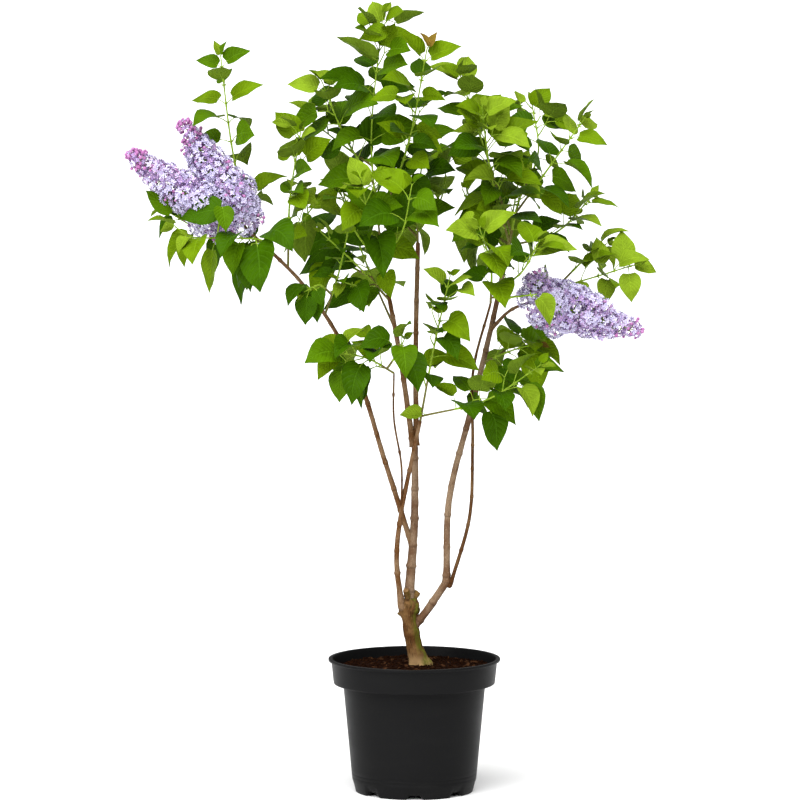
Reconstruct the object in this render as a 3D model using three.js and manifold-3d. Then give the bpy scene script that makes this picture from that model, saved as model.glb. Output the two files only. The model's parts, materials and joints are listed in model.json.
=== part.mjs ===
// Potted lilac bush: a nursery container with its soil, a short trunk that forks
// into many stems, the leafy masses that grow on from them, and two flower trusses.
// Millimetres, +Z up. The origin is the middle of the container's flat underside.
import * as THREE from 'three';
import { mergeVertices } from 'three/addons/utils/BufferGeometryUtils.js';
import Module from 'manifold-3d';

const wasm = await Module();
wasm.setup();
const { Manifold } = wasm;

// ---------------------------------------------------------------- driving sizes

// Container: a round nursery pot with a collar, a lip and a notched foot.
const POT = {
  height: 218,
  facets: 32,
  lipRadius: 140,
  lipThickness: 4,
  collarTop: 135.6,
  collarFoot: 131.4,
  collarHeight: 41,
  bodyTop: 116,
  bodyFoot: 101.2,
  footRadius: 96,
  footRise: 20,
  wall: 2.3,
  floorUnder: 4,
  floorTop: 6.5,
  padRadius: 32,
  footRingWidth: 9,
};
const NOTCH = { count: 8, width: 23, height: 9, flare: 5 };

// Potting soil: fills the container to a little under its lip. shoulder and crest
// are where its surface dips and swells, as shares of its radius.
const SOIL = {
  level: 206,
  edgeDrop: 5,
  swell: 2,
  shoulder: 0.72,
  crest: 0.42,
  seatRadius: 26,
  clearance: 0.5,
};

// Pieces that touch stay this far apart, between the flats of many-sided ones too.
const GAP = 0.3;
const cornerGap = (sides) => GAP / Math.cos(Math.PI / sides);

// Trunk: from its flat cut on the soil to the pruned head that it forks from.
const TRUNK = {
  foot: [9, 0, SOIL.level + GAP],
  reach: [-18, 0, 110],
  bows: [[-5, 0, 0]],
  sides: 10,
  steps: 9,
  waist: 12.6,
  flare: 6.5,
  flareHeight: 14,
  head: 3.6,
  headAt: 0.9,
  headSpread: 0.13,
};

// Short stubs where branches were pruned away, fused to the limb that bore them.
// turn is the heading seen from above in degrees, lift the rise above level.
const STUB_SIDES = 6;
const STUB_TAPER = [1.15, 0.85];
const STUBS = [
  { on: 'trunk', at: 0.66, turn: 172, lift: 38, length: 24, radius: 4.2 },
  { on: 'trunk', at: 0.95, turn: 250, lift: 55, length: 25, radius: 5.2 },
  { on: 'trunk', at: 0.92, turn: 20, lift: 50, length: 24, radius: 5.6 },
  { on: 'right_stem', at: 0.9, turn: 300, lift: 70, length: 16, radius: 2.4 },
];

// Limbs. Each starts on an earlier one at a fraction of its length, moved by seat
// from its middle line; reach leads straight to the tip and the bows are how far
// evenly spaced way points lie beside that straight line.
const LIMB = { sides: 6, spacing: 50 };
const LIMBS = [
  { name: 'left_stem', on: 'trunk', at: 0.93, seat: [-13, -8, 0], reach: [31, -39, 302],
    bows: [[-15, -1, 0], [-15, 2, 1], [-8, 1, 1]], radius: [4.6, 3.0] },
  { name: 'centre_stem', on: 'trunk', at: 1, seat: [0, 0, 0], reach: [10, 18, 247],
    bows: [[4, -1, 0]], radius: [6.4, 5.2] },
  { name: 'centre_cut', on: 'centre_stem', at: 1, seat: [2, 2, 0], reach: [3, 55, 327],
    bows: [[-2, 2, -1]], radius: [4.6, 3.6] },
  { name: 'left_centre', on: 'centre_stem', at: 1, seat: [-3, -1, -2], reach: [-46, 13, 279],
    bows: [[3, 4, 0]], radius: [4.8, 3.4] },
  { name: 'far_left', on: 'centre_stem', at: 0.33, seat: [0, 0, 0], reach: [-274, -65, 530],
    bows: [[22, 20, 13], [44, 19, 26], [36, 12, 25]], radius: [4.6, 2.6] },
  { name: 'dark_twig', on: 'left_stem', at: 0.5, seat: [0, 0, 0], reach: [-12, -60, 230],
    bows: [[4, -1, 0], [-4, 1, 1]], radius: [1.8, 1.5] },
  { name: 'right_stem', on: 'trunk', at: 0.52, seat: [0, 0, 0], reach: [60, -10, 86],
    bows: [[1, 1, -2]], radius: [6.6, 6.2] },
  { name: 'right_main', on: 'right_stem', at: 0.95, seat: [0, 0, 0], reach: [99, 29, 536],
    bows: [[-20, -3, 2], [-12, 3, 1], [-4, 9, -1]], radius: [5.6, 3.9] },
  { name: 'right_thin', on: 'right_stem', at: 1, seat: [5, -2, -6], reach: [62, -66, 460],
    bows: [[14, -2, -4], [3, 1, -1], [-12, 5, 3]], radius: [3.2, 2.0] },
  { name: 'right_truss_bough', on: 'right_main', at: 0.76, seat: [0, 0, 0],
    reach: [74, -72, 54], bows: [[-5, 1, 8]], radius: [2.8, 2.3] },
];

// Foliage. Every mass grows from one stem, the first of its shoots, which meets a
// limb; its other shoots are twigs of that stem. Leaves stand on a shoot in pairs,
// each pair turned a quarter from the last, as a lilac bears them.
const SHOOT = { sides: 3, spacing: 45, foot: 2.6, tip: 1.6, woody: 3.6 };
const MASSES = [
  { name: 'crown_left_centre', on: 'left_centre', seed: 11, shoots: [
    { at: 1, reach: [-3, -10, 422], bow: [-20, 3, 0], pairs: 10, first: 0.1, leaf: 76, droop: 45 },
    { at: 0.03, reach: [-71, -30, 127], bow: [-10, 2, -5], pairs: 4, first: 0.2, leaf: 74, droop: 60 },
    { at: 0.19, reach: [78, -90, 289], bow: [9, -15, -9], pairs: 8, first: 0.12, leaf: 74, droop: 45 },
    { at: 0.35, reach: [-84, 11, 166], bow: [-6, -3, -3], pairs: 5, first: 0.2, leaf: 72, droop: 50 },
    { at: 0.42, reach: [-99, 51, 70], bow: [2, 7, -3], pairs: 3, first: 0.25, leaf: 68, droop: 50 },
  ] },
  { name: 'crown_left_front', on: 'left_centre', seed: 12, shoots: [
    { at: 0.88, reach: [-43, -140, 194], bow: [-1, -16, -13], pairs: 5, first: 0.2, leaf: 74, droop: 62 },
    { at: 0.37, reach: [54, -93, 126], bow: [11, -13, -14], pairs: 3, first: 0.3, leaf: 74, droop: 64 },
  ] },
  { name: 'crown_left_back', on: 'left_centre', seed: 13, shoots: [
    { at: 0.68, reach: [-99, 141, 260], bow: [-5, 12, -9], pairs: 6, first: 0.2, leaf: 74, droop: 62 },
    { at: 0.33, reach: [-105, 84, 83], bow: [-2, 8, -11], pairs: 3, first: 0.3, leaf: 72, droop: 60 },
  ] },
  { name: 'crown_left_low', on: 'left_centre', seed: 26, shoots: [
    { at: 0.85, reach: [-110, -50, 114], bow: [4, -6, 1], pairs: 5, first: 0.15, leaf: 60, droop: 60 },
    { at: 0.23, reach: [-60, -75, 13], bow: [1, -2, -5], pairs: 3, first: 0.3, leaf: 58, droop: 64 },
  ] },
  { name: 'crown_left', on: 'far_left', seed: 14, shoots: [
    { at: 0.97, reach: [-48, 46, 281], bow: [-6, 12, -5], pairs: 6, first: 0.36, leaf: 60, droop: 50 },
    { at: 0.1, reach: [-88, -66, -33], bow: [7, -2, -15], pairs: 3, first: 0.2, leaf: 72, droop: 82 },
    { at: 0.16, reach: [-123, 14, -13], bow: [5, 26, -38], pairs: 3, first: 0.3, leaf: 58, droop: 64 },
    { at: 0.17, reach: [26, 113, 15], bow: [-21, 9, -30], pairs: 3, first: 0.3, leaf: 70, droop: 64 },
  ] },
  { name: 'crown_left_skirt', on: 'far_left', seed: 15, shoots: [
    { at: 0.88, reach: [-60, -74, 32], bow: [12, -5, 10], pairs: 4, first: 0.15, leaf: 84, droop: 85 },
    { at: 0.3, reach: [-33, 82, 4], bow: [1, 0, -10], pairs: 3, first: 0.2, leaf: 78, droop: 78 },
  ] },
  { name: 'crown_left_bright', on: 'far_left', seed: 16, shoots: [
    { at: 0.83, reach: [20, 30, 217], bow: [-7, 0, 1], pairs: 6, first: 0.15, leaf: 70, droop: 50 },
    { at: 0.2, reach: [46, 94, 60], bow: [-3, 3, -3], pairs: 3, first: 0.3, leaf: 68, droop: 60 },
  ] },
  { name: 'crown_left_inner', on: 'far_left', seed: 17, shoots: [
    { at: 0.67, reach: [39, -37, 142], bow: [3, -3, -2], pairs: 5, first: 0.2, leaf: 52, droop: 60 },
    { at: 0.24, reach: [-43, -46, 8], bow: [2, 0, 13], pairs: 2, first: 0.4, leaf: 56, droop: 69 },
  ] },
  { name: 'crown_centre_back', on: 'centre_cut', seed: 18, shoots: [
    { at: 0.93, reach: [15, 58, 200], bow: [-6, -5, 1], pairs: 5, first: 0.2, leaf: 76, droop: 55 },
    { at: 0.2, reach: [49, 99, 118], bow: [14, 3, -9], pairs: 5, first: 0.2, leaf: 70, droop: 60 },
    { at: 0.15, reach: [-53, 111, 92], bow: [-4, 1, -11], pairs: 4, first: 0.25, leaf: 70, droop: 60 },
  ] },
  { name: 'crown_right', on: 'right_main', seed: 19, woody: true, shoots: [
    { at: 1, reach: [32, -15, 125], bow: [-3, 2, 1], pairs: 0, first: 0, leaf: 60, droop: 60 },
    { at: 0.06, reach: [138, 91, 75], bow: [9, -1, -18], pairs: 5, first: 0.2, leaf: 62, droop: 60 },
    { at: 0.49, reach: [111, 26, 151], bow: [0, -5, 0], pairs: 6, first: 0.18, leaf: 60, droop: 50 },
    { at: 0.1, reach: [-46, -79, 222], bow: [-7, -2, 0], pairs: 7, first: 0.12, leaf: 76, droop: 48 },
    { at: 0.23, reach: [-84, -7, 258], bow: [1, -14, -1], pairs: 8, first: 0.12, leaf: 72, droop: 48 },
    { at: 0.71, reach: [21, 110, 144], bow: [19, -5, -5], pairs: 5, first: 0.18, leaf: 58, droop: 50 },
  ] },
  { name: 'crown_right_back', on: 'right_main', seed: 20, shoots: [
    { at: 0.92, reach: [33, 159, 165], bow: [-1, -3, -2], pairs: 5, first: 0.2, leaf: 72, droop: 62 },
    { at: 0.31, reach: [-73, 83, 85], bow: [-9, 3, -11], pairs: 4, first: 0.25, leaf: 70, droop: 60 },
  ] },
  { name: 'crown_right_front', on: 'right_thin', seed: 21, shoots: [
    { at: 1, reach: [-18, -32, 121], bow: [9, 3, 0], pairs: 4, first: 0.15, leaf: 74, droop: 69 },
    { at: 0.14, reach: [76, -46, 84], bow: [8, -7, -10], pairs: 4, first: 0.2, leaf: 76, droop: 71 },
    { at: 0.07, reach: [72, -61, 10], bow: [-2, 2, -2], pairs: 3, first: 0.3, leaf: 72, droop: 74 },
  ] },
  { name: 'crown_right_low', on: 'right_main', seed: 22, shoots: [
    { at: 0.66, reach: [88, -48, 36], bow: [0, 2, 3], pairs: 4, first: 0.15, leaf: 68, droop: 69 },
    { at: 0.31, reach: [35, 86, 31], bow: [2, -2, 0], pairs: 3, first: 0.25, leaf: 66, droop: 69 },
  ] },
  { name: 'crown_far_right', on: 'right_main', seed: 23, shoots: [
    { at: 0.85, reach: [232, 18, 59], bow: [-2, 40, -8], pairs: 6, first: 0.3, leaf: 62, droop: 60 },
    { at: 0.43, reach: [82, 32, 69], bow: [1, 2, 6], pairs: 3, first: 0.3, leaf: 62, droop: 64 },
  ] },
  { name: 'crown_low_right', on: 'left_stem', seed: 24, shoots: [
    { at: 1, reach: [47, -63, 237], bow: [-2, 3, 1], pairs: 6, first: 0.25, leaf: 62, droop: 55 },
    { at: 0.03, reach: [189, -80, 89], bow: [9, -7, -14], pairs: 5, first: 0.25, leaf: 68, droop: 67 },
  ] },
  { name: 'crown_low_left', on: 'dark_twig', seed: 25, shoots: [
    { at: 1, reach: [-94, -14, 35], bow: [4, -2, 7], pairs: 4, first: 0.15, leaf: 70, droop: 76 },
    { at: 0.13, reach: [27, -42, 49], bow: [2, 2, 0], pairs: 2, first: 0.4, leaf: 70, droop: 74 },
  ] },
];

// Leaf: a stalk that widens into a three-sided blade, flat above and keeled below.
// along are the places of its two broad sections as shares of the blade; a leaf
// shorter than plainBelow has only the first of them. arch is how much of its droop
// each stretch has taken, and no stretch falls more steeply than steepest degrees.
const LEAF = {
  stalk: 0.34,
  stalkRadius: 0.6,
  along: [0.26, 0.64],
  halfWidth: [0.38, 0.28],
  keel: [0.022, 0.016],
  plainBelow: 54,
  opposite: 0.7,
  arch: [0.45, 0.8, 1.1],
  steepest: -86,
};

// Growth: how leaves stand, and what a leaf tries before it is left out. Beyond
// youngFrom of a shoot its leaves are younger: smaller, more upright, less arched.
// Spreads are degrees from the shoot, turns and rolls radians, and each pair of
// numbers is the range that a leaf draws from. Leaves roll to face outwards, away
// from middle.
const GROWTH = {
  firstNode: 0.3,
  crowding: 0.92,
  turn: 0.3,
  youngFrom: 0.62,
  youngShrink: 0.34,
  youngSpread: -26,
  youngDroop: 0.45,
  youngStalk: 0.3,
  sizes: [0.85, 1.1],
  spread: 58,
  sway: 10,
  droops: [0.6, 1.35],
  stalks: [0.85, 1.2],
  roll: 0.35,
  outward: 1,
  middle: [-20, 320],
  inside: 90,
  margin: 2,
  limbClear: 2.2,
  trussClear: 3,
  leafClear: 5,
  tries: [[0, 1], [0.45, 1], [-0.45, 1], [0.9, 0.9], [-0.9, 0.9], [0, 0.75], [0.6, 0.7], [-0.6, 0.7]],
};

// Flower trusses: cones of floret clusters in opposite pairs along each axis.
// radius runs from the broad foot of a cone to its narrow tip.
const TRUSS = { sides: 9, spacing: 15, stem: 2, bump: [0.7, 1.15], root: 0.55, swell: 3, taper: 1.2 };
const TRUSSES = [
  { name: 'blossom_left', on: 'far_left', at: 1, seed: 41, axes: [
    { reach: [-172, -28, 112], bow: [4, -4, -10], radius: [52, 12], clear: 0.2 },
    { reach: [-92, 16, 156], bow: [8, -6, -4], radius: [48, 12], clear: 0.2 },
    { reach: [-12, -38, 62], bow: [4, -6, 2], radius: [32, 18], clear: 0.3 },
  ] },
  { name: 'blossom_right', on: 'right_truss_bough', at: 1, seed: 43, axes: [
    { reach: [158, -22, -48], bow: [4, -8, 0], radius: [50, 12], clear: 0.1 },
    { reach: [6, -34, 44], bow: [-4, -4, 2], radius: [32, 18], clear: 0.2 },
  ] },
];

const COLOUR = {
  pot: 0x1b1c1e,
  soil: 0x3a2418,
  trunk: 0x6f5a3a,
  bark: 0x8a6a55,
  leaf: 0x4c8a12,
  blossom: 0xb3a3dc,
};

// ---------------------------------------------------------------- small helpers

const UP = new THREE.Vector3(0, 0, 1);
const QUARTER = Math.PI / 2;
const radians = THREE.MathUtils.degToRad;
const mix = THREE.MathUtils.lerp;
const vec = (list) => new THREE.Vector3(...list);

// Seeded draws between 0 and 1, the same in every run.
class Draws {
  constructor(seed) {
    this.state = seed >>> 0;
  }

  next() {
    this.state = (this.state + 0x6d2b79f5) >>> 0;
    let t = this.state;
    t = Math.imul(t ^ (t >>> 15), t | 1);
    t ^= t + Math.imul(t ^ (t >>> 7), t | 61);
    return ((t ^ (t >>> 14)) >>> 0) / 4294967296;
  }

  span(low, high) {
    return low + (high - low) * this.next();
  }
}

// A smooth line from a root to its tip, kept as evenly spaced points.
class Path {
  constructor(root, reach, bows, spacing) {
    const last = bows.length + 1;
    const way = bows.map((bow, k) => (
      root.clone().addScaledVector(reach, (k + 1) / last).add(vec(bow))
    ));
    const curve = new THREE.CatmullRomCurve3(
      [root, ...way, root.clone().add(reach)], false, 'catmullrom', 0.5,
    );
    this.length = curve.getLength();
    this.steps = Math.max(3, Math.round(this.length / spacing));
    this.points = curve.getSpacedPoints(this.steps);
  }

  at(share) {
    const place = THREE.MathUtils.clamp(share, 0, 1) * this.steps;
    const k = Math.min(Math.floor(place), this.steps - 1);
    return this.points[k].clone().lerp(this.points[k + 1], place - k);
  }

  heading(share) {
    const place = THREE.MathUtils.clamp(share, 0, 1) * this.steps;
    const k = Math.min(Math.floor(place), this.steps - 1);
    return this.points[k + 1].clone().sub(this.points[k]).normalize();
  }
}

// A closed solid from a geometry class, and back.
function toSolid(geometry) {
  const bare = geometry.clone();
  bare.deleteAttribute('normal');
  bare.deleteAttribute('uv');
  const merged = mergeVertices(bare, 1e-4);
  return new Manifold(new wasm.Mesh({
    numProp: 3,
    vertProperties: new Float32Array(merged.attributes.position.array),
    triVerts: new Uint32Array(merged.index.array),
  }));
}

function toGeometry(solid) {
  const mesh = solid.getMesh();
  const geometry = new THREE.BufferGeometry();
  geometry.setAttribute('position', new THREE.BufferAttribute(mesh.vertProperties, 3));
  geometry.setIndex(new THREE.BufferAttribute(mesh.triVerts, 1));
  geometry.computeVertexNormals();
  return geometry;
}

// The main body of a solid: loose scraps go, and a sealed hollow is filled.
function mainBody(solid) {
  const bodies = solid.decompose();
  return bodies.reduce((best, body) => (body.volume() > best.volume() ? body : best));
}

// Bends an upright cylinder or cone of unit radius so that each of its rings takes
// the place, the two half axes and the sizes that rings gives for it.
function bend(geometry, rings) {
  const place = geometry.attributes.position;
  const last = rings.length - 1;
  const point = new THREE.Vector3();
  for (let i = 0; i < place.count; i += 1) {
    const ring = rings[Math.round((place.getY(i) + 0.5) * last)];
    point.copy(ring.centre);
    point.addScaledVector(ring.side, place.getX(i) * ring.width);
    point.addScaledVector(ring.out, place.getZ(i) * ring.depth);
    place.setXYZ(i, point.x, point.y, point.z);
  }
  return toSolid(geometry);
}

// Rings along a path that turn with it and don't twist. A path may set how its first
// ring faces, which makes the cut there level.
function pathRings(path, radiusAt) {
  const rings = [];
  let side = null;
  path.points.forEach((centre, k) => {
    const before = path.points[Math.max(k - 1, 0)];
    const after = path.points[Math.min(k + 1, path.steps)];
    const faces = k === 0 ? path.footFaces : null;
    const along = faces ?? after.clone().sub(before).normalize();
    if (!side) {
      side = new THREE.Vector3(1, 0, 0);
      if (Math.abs(along.x) > 0.9) side.set(0, 1, 0);
    }
    side = side.clone().addScaledVector(along, -side.dot(along)).normalize();
    const radius = radiusAt(k / path.steps);
    rings.push({ centre, side, out: side.clone().cross(along), width: radius, depth: radius });
  });
  return rings;
}

function tube(path, radiusAt, sides) {
  const geometry = new THREE.CylinderGeometry(1, 1, 1, sides, path.steps);
  return bend(geometry, pathRings(path, radiusAt));
}

// ---------------------------------------------------------------- container and soil

// A turned solid: profile points are [radius, height], and it stands on +Z.
function turned(profile, facets) {
  const outline = profile.map(([radius, height]) => new THREE.Vector2(radius, height));
  return toSolid(new THREE.LatheGeometry(outline, facets).rotateX(QUARTER));
}

// Radius of the container's inner face at a height, moved inwards by a clearance.
function innerRadius(height, clearance) {
  const ledge = POT.height - POT.collarHeight + POT.wall;
  const collar = height > ledge;
  const low = collar ? POT.height - POT.collarHeight : POT.footRise;
  const high = collar ? POT.height : POT.height - POT.collarHeight;
  const from = collar ? POT.collarFoot : POT.bodyFoot;
  const to = collar ? POT.collarTop : POT.bodyTop;
  return mix(from, to, (height - low) / (high - low)) - POT.wall - clearance;
}

// One notch's cutter: a wedge, wider at the ground than at its top.
function notchCutter(turn) {
  const half = NOTCH.width / 2;
  const outline = new THREE.Shape([
    new THREE.Vector2(-half, -1),
    new THREE.Vector2(half, -1),
    new THREE.Vector2(half - NOTCH.flare, NOTCH.height),
    new THREE.Vector2(-half + NOTCH.flare, NOTCH.height),
  ]);
  const start = POT.footRadius - POT.footRingWidth + POT.wall;
  const depth = POT.lipRadius - start;
  const wedge = new THREE.ExtrudeGeometry(outline, { depth, bevelEnabled: false });
  wedge.rotateX(QUARTER).translate(0, -start, 0).rotateZ(turn);
  return toSolid(wedge);
}

function potSolid() {
  const collarBase = POT.height - POT.collarHeight;
  const ledge = collarBase + POT.wall;
  const lipUnder = POT.height - POT.lipThickness;
  const ring = POT.footRadius - POT.footRingWidth;
  const profile = [
    [0, 0],
    [POT.padRadius, 0],
    [POT.padRadius + POT.floorUnder, POT.floorUnder],
    [ring - POT.floorUnder / 2, POT.floorUnder],
    [ring, 0],
    [POT.footRadius, 0],
    [POT.bodyFoot, POT.footRise],
    [POT.bodyTop, collarBase],
    [POT.collarFoot, collarBase],
    [POT.collarTop, lipUnder],
    [POT.lipRadius, lipUnder],
    [POT.lipRadius, POT.height],
    [innerRadius(POT.height, 0), POT.height],
    [innerRadius(ledge + 0.01, 0), ledge],
    [innerRadius(ledge, 0), ledge],
    [innerRadius(POT.footRise, 0), POT.footRise],
    [POT.footRadius - POT.wall, POT.floorTop],
    [0, POT.floorTop],
  ];
  let pot = turned(profile, POT.facets);
  for (let k = 0; k < NOTCH.count; k += 1) {
    pot = pot.subtract(notchCutter((k * 2 * Math.PI) / NOTCH.count));
  }
  return pot;
}

function soilSolid() {
  const gap = SOIL.clearance;
  const ledge = POT.height - POT.collarHeight + POT.wall;
  const floor = POT.floorTop + gap;
  const edge = SOIL.level - SOIL.edgeDrop;
  const rim = innerRadius(edge, gap);
  const profile = [
    [0, floor],
    [POT.footRadius - POT.wall - gap, floor],
    [innerRadius(POT.footRise, gap), POT.footRise + gap],
    [innerRadius(ledge, gap), ledge + gap],
    [innerRadius(ledge + 0.01, gap), ledge + gap],
    [rim, edge],
    [rim * SOIL.shoulder, SOIL.level - SOIL.swell],
    [rim * SOIL.crest, SOIL.level + SOIL.swell],
    [SOIL.seatRadius, SOIL.level],
    [0, SOIL.level],
  ];
  return turned(profile, POT.facets);
}

// ---------------------------------------------------------------- trunk and limbs

function trunkRadius(share) {
  const height = share * TRUNK.reach[2];
  const flare = TRUNK.flare * Math.exp(-height / TRUNK.flareHeight);
  const swell = Math.exp(-(((share - TRUNK.headAt) / TRUNK.headSpread) ** 2));
  return TRUNK.waist + flare + TRUNK.head * swell;
}

// A pruned branch's stub, from the middle of its limb outwards.
function stubSolid(stub, limbs) {
  const root = limbs.get(stub.on).path.at(stub.at);
  const turn = radians(stub.turn);
  const lift = radians(stub.lift);
  const reach = new THREE.Vector3(
    Math.cos(turn) * Math.cos(lift), Math.sin(turn) * Math.cos(lift), Math.sin(lift),
  ).multiplyScalar(stub.length);
  const path = new Path(root, reach, [], stub.length);
  return tube(path, (share) => stub.radius * mix(...STUB_TAPER, share), STUB_SIDES);
}

// The same path with each end moved out by the gap.
function lengthened(path) {
  const longer = Object.assign(Object.create(Path.prototype), path);
  longer.points = path.points.map((point) => point.clone());
  longer.points[0].addScaledVector(path.heading(0), -GAP);
  longer.points[path.steps].addScaledVector(path.heading(1), GAP);
  return longer;
}

// Every limb: its path, its radius along it, its solid, and the same solid grown
// by the gap that whatever meets it keeps.
function makeLimbs() {
  const limbs = new Map();
  const add = (name, path, radiusAt, sides) => {
    limbs.set(name, { path, radiusAt, sides, solid: tube(path, radiusAt, sides) });
  };
  const trunkPath = new Path(
    vec(TRUNK.foot), vec(TRUNK.reach), TRUNK.bows, TRUNK.reach[2] / TRUNK.steps,
  );
  trunkPath.footFaces = UP;
  add('trunk', trunkPath, trunkRadius, TRUNK.sides);
  for (const row of LIMBS) {
    const root = limbs.get(row.on).path.at(row.at).add(vec(row.seat));
    const path = new Path(root, vec(row.reach), row.bows, LIMB.spacing);
    const [foot, tip] = row.radius;
    add(row.name, path, (share) => mix(foot, tip, share), LIMB.sides);
  }
  for (const limb of limbs.values()) {
    const radiusAt = (share) => limb.radiusAt(share) + cornerGap(limb.sides);
    limb.grown = tube(lengthened(limb.path), radiusAt, limb.sides);
  }
  for (const stub of STUBS) {
    const limb = limbs.get(stub.on);
    const radius = stub.radius + cornerGap(STUB_SIDES);
    const thicker = { ...stub, radius, length: stub.length + GAP };
    limb.solid = limb.solid.add(stubSolid(stub, limbs));
    limb.grown = limb.grown.add(stubSolid(thicker, limbs));
  }
  const earlier = [];
  for (const limb of limbs.values()) {
    for (const other of earlier) {
      limb.solid = mainBody(limb.solid.subtract(other.grown));
    }
    earlier.push(limb);
  }
  return limbs;
}

// ---------------------------------------------------------------- leafy masses

// The shortest distance from a point to a segment, and how far along it that is.
const spare = { along: new THREE.Vector3(), away: new THREE.Vector3() };
function toSegment(point, from, to) {
  spare.along.subVectors(to, from);
  spare.away.subVectors(point, from);
  const share = THREE.MathUtils.clamp(
    spare.away.dot(spare.along) / spare.along.lengthSq(), 0, 1,
  );
  return [spare.away.addScaledVector(spare.along, -share).length(), share];
}

// The gap from a point to the surface round a path whose radius radiusAt gives.
function toPath(point, path, radiusAt) {
  let least = Infinity;
  for (let k = 0; k < path.steps; k += 1) {
    const [distance, share] = toSegment(point, path.points[k], path.points[k + 1]);
    least = Math.min(least, distance - radiusAt((k + share) / path.steps));
  }
  return least;
}

const axisOnly = () => 0;

// The shoots of a mass: the first on its limb, the rest on the first.
function makeShoots(row, limbs) {
  const shoots = [];
  row.shoots.forEach((shoot, k) => {
    const carrier = k === 0 ? limbs.get(row.on).path : shoots[0].path;
    const path = new Path(carrier.at(shoot.at), vec(shoot.reach), [shoot.bow], SHOOT.spacing);
    shoots.push({ ...shoot, path, foot: k === 0 && row.woody ? SHOOT.woody : SHOOT.foot });
  });
  return shoots;
}

// Where a leaf lies: its stalk's root and end, two broad sections and its tip.
// pose holds the heading seen from above, the rise, the droop and the roll.
function leafFrame(root, pose, size, stalk) {
  const floor = radians(LEAF.steepest);
  const toward = (rise) => (
    pose.heading.clone().multiplyScalar(Math.cos(rise)).addScaledVector(UP, Math.sin(rise))
  );
  const rises = LEAF.arch.map((share) => Math.max(pose.rise - pose.droop * share, floor));
  const [near, far] = LEAF.along;
  const neck = root.clone().addScaledVector(toward(pose.rise), stalk);
  const broad = neck.clone().addScaledVector(toward(rises[0]), size * near);
  const slim = broad.clone().addScaledVector(toward(rises[1]), size * (far - near));
  const tip = slim.clone().addScaledVector(toward(rises[2]), size * (1 - far));
  const level = new THREE.Vector3(-pose.heading.y, pose.heading.x, 0);
  const axes = rises.slice(0, 2).map((rise) => {
    const over = toward(rise).cross(level);
    const side = level.clone().multiplyScalar(Math.cos(pose.roll));
    side.addScaledVector(over, Math.sin(pose.roll));
    const up = over.multiplyScalar(Math.cos(pose.roll));
    up.addScaledVector(level, -Math.sin(pose.roll));
    return { side, up };
  });
  return { root, neck, broad, slim, tip, axes, size };
}

// Points spread over a leaf, which have to stay in its mass's own space.
function leafPoints(leaf) {
  const { neck, broad, slim, tip, axes, size } = leaf;
  const [wide, narrow] = axes.map((axis, k) => (
    axis.side.clone().multiplyScalar(LEAF.halfWidth[k] * size)
  ));
  const points = [neck, tip];
  for (const across of [-1, -0.5, 0, 0.5, 1]) {
    const a = broad.clone().addScaledVector(wide, across);
    const b = slim.clone().addScaledVector(narrow, across);
    points.push(a, b, a.clone().lerp(b, 0.5));
    if (across % 1 === 0) {
      points.push(b.clone().lerp(tip, 0.5), a.clone().lerp(neck, 0.5));
    }
  }
  return points;
}

// The outline of a leaf: its edges with its stalk, and the faces of its blade.
function leafOutline(leaf) {
  const { root, neck, broad, slim, tip, axes, size } = leaf;
  const [wide, narrow] = axes.map((axis, k) => (
    axis.side.clone().multiplyScalar(LEAF.halfWidth[k] * size)
  ));
  const left = [broad.clone().add(wide), slim.clone().add(narrow)];
  const right = [broad.clone().sub(wide), slim.clone().sub(narrow)];
  const edges = [
    [root, neck], [neck, left[0]], [left[0], left[1]], [left[1], tip],
    [neck, right[0]], [right[0], right[1]], [right[1], tip],
  ];
  const faces = [
    [neck, left[0], right[0]], [left[0], left[1], right[1]],
    [left[0], right[1], right[0]], [left[1], tip, right[1]],
  ];
  return { edges, faces };
}

// Whether a straight edge passes through a triangle.
const ray = new THREE.Ray();
const hit = new THREE.Vector3();
function pierces([from, to], [a, b, c]) {
  ray.origin.copy(from);
  ray.direction.subVectors(to, from).normalize();
  if (!ray.intersectTriangle(a, b, c, false, hit)) return false;
  return hit.distanceToSquared(from) <= from.distanceToSquared(to);
}

function crosses(one, other) {
  return one.edges.some((edge) => other.faces.some((face) => pierces(edge, face)));
}

// The straight pieces that the shoots of a mass are made of.
function shootEdges(mass) {
  return mass.shoots.flatMap(({ path }) => (
    path.points.slice(1).map((point, k) => [path.points[k], point])
  ));
}

// A leaf fits where its points are clear of every limb, truss and earlier leaf, its
// blade crosses no leaf or shoot, and it lies nearer to a shoot of its own mass than
// to any other mass's.
function leafFits(leaf, own, plant) {
  leaf.points = leafPoints(leaf);
  leaf.outline = leafOutline(leaf);
  const clear = GROWTH.leafClear ** 2;
  const touches = (grown) => {
    if (grown.neck.distanceTo(leaf.neck) > grown.size * 2 + leaf.size * 2) return false;
    const near = (point) => grown.points.some((other) => point.distanceToSquared(other) < clear);
    if (leaf.points.slice(1).some(near)) return true;
    return crosses(leaf.outline, grown.outline) || crosses(grown.outline, leaf.outline);
  };
  if (plant.masses.some((mass) => mass.leaves.some(touches))) return false;
  const pierced = (edge) => leaf.outline.faces.some((face) => pierces(edge, face));
  if (plant.masses.some((mass) => mass.edges.some(pierced))) return false;
  return leaf.points.every((point) => {
    for (const limb of plant.limbs.values()) {
      if (toPath(point, limb.path, limb.radiusAt) < GROWTH.limbClear) return false;
    }
    for (const cone of plant.cones) {
      if (toPath(point, cone.path, cone.radiusAt) < GROWTH.trussClear) return false;
    }
    const reachTo = (mass) => (
      Math.min(...mass.shoots.map((shoot) => toPath(point, shoot.path, axisOnly)))
    );
    const home = reachTo(own) + GROWTH.margin;
    return plant.masses.every((mass) => mass === own || reachTo(mass) >= home);
  });
}

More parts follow.
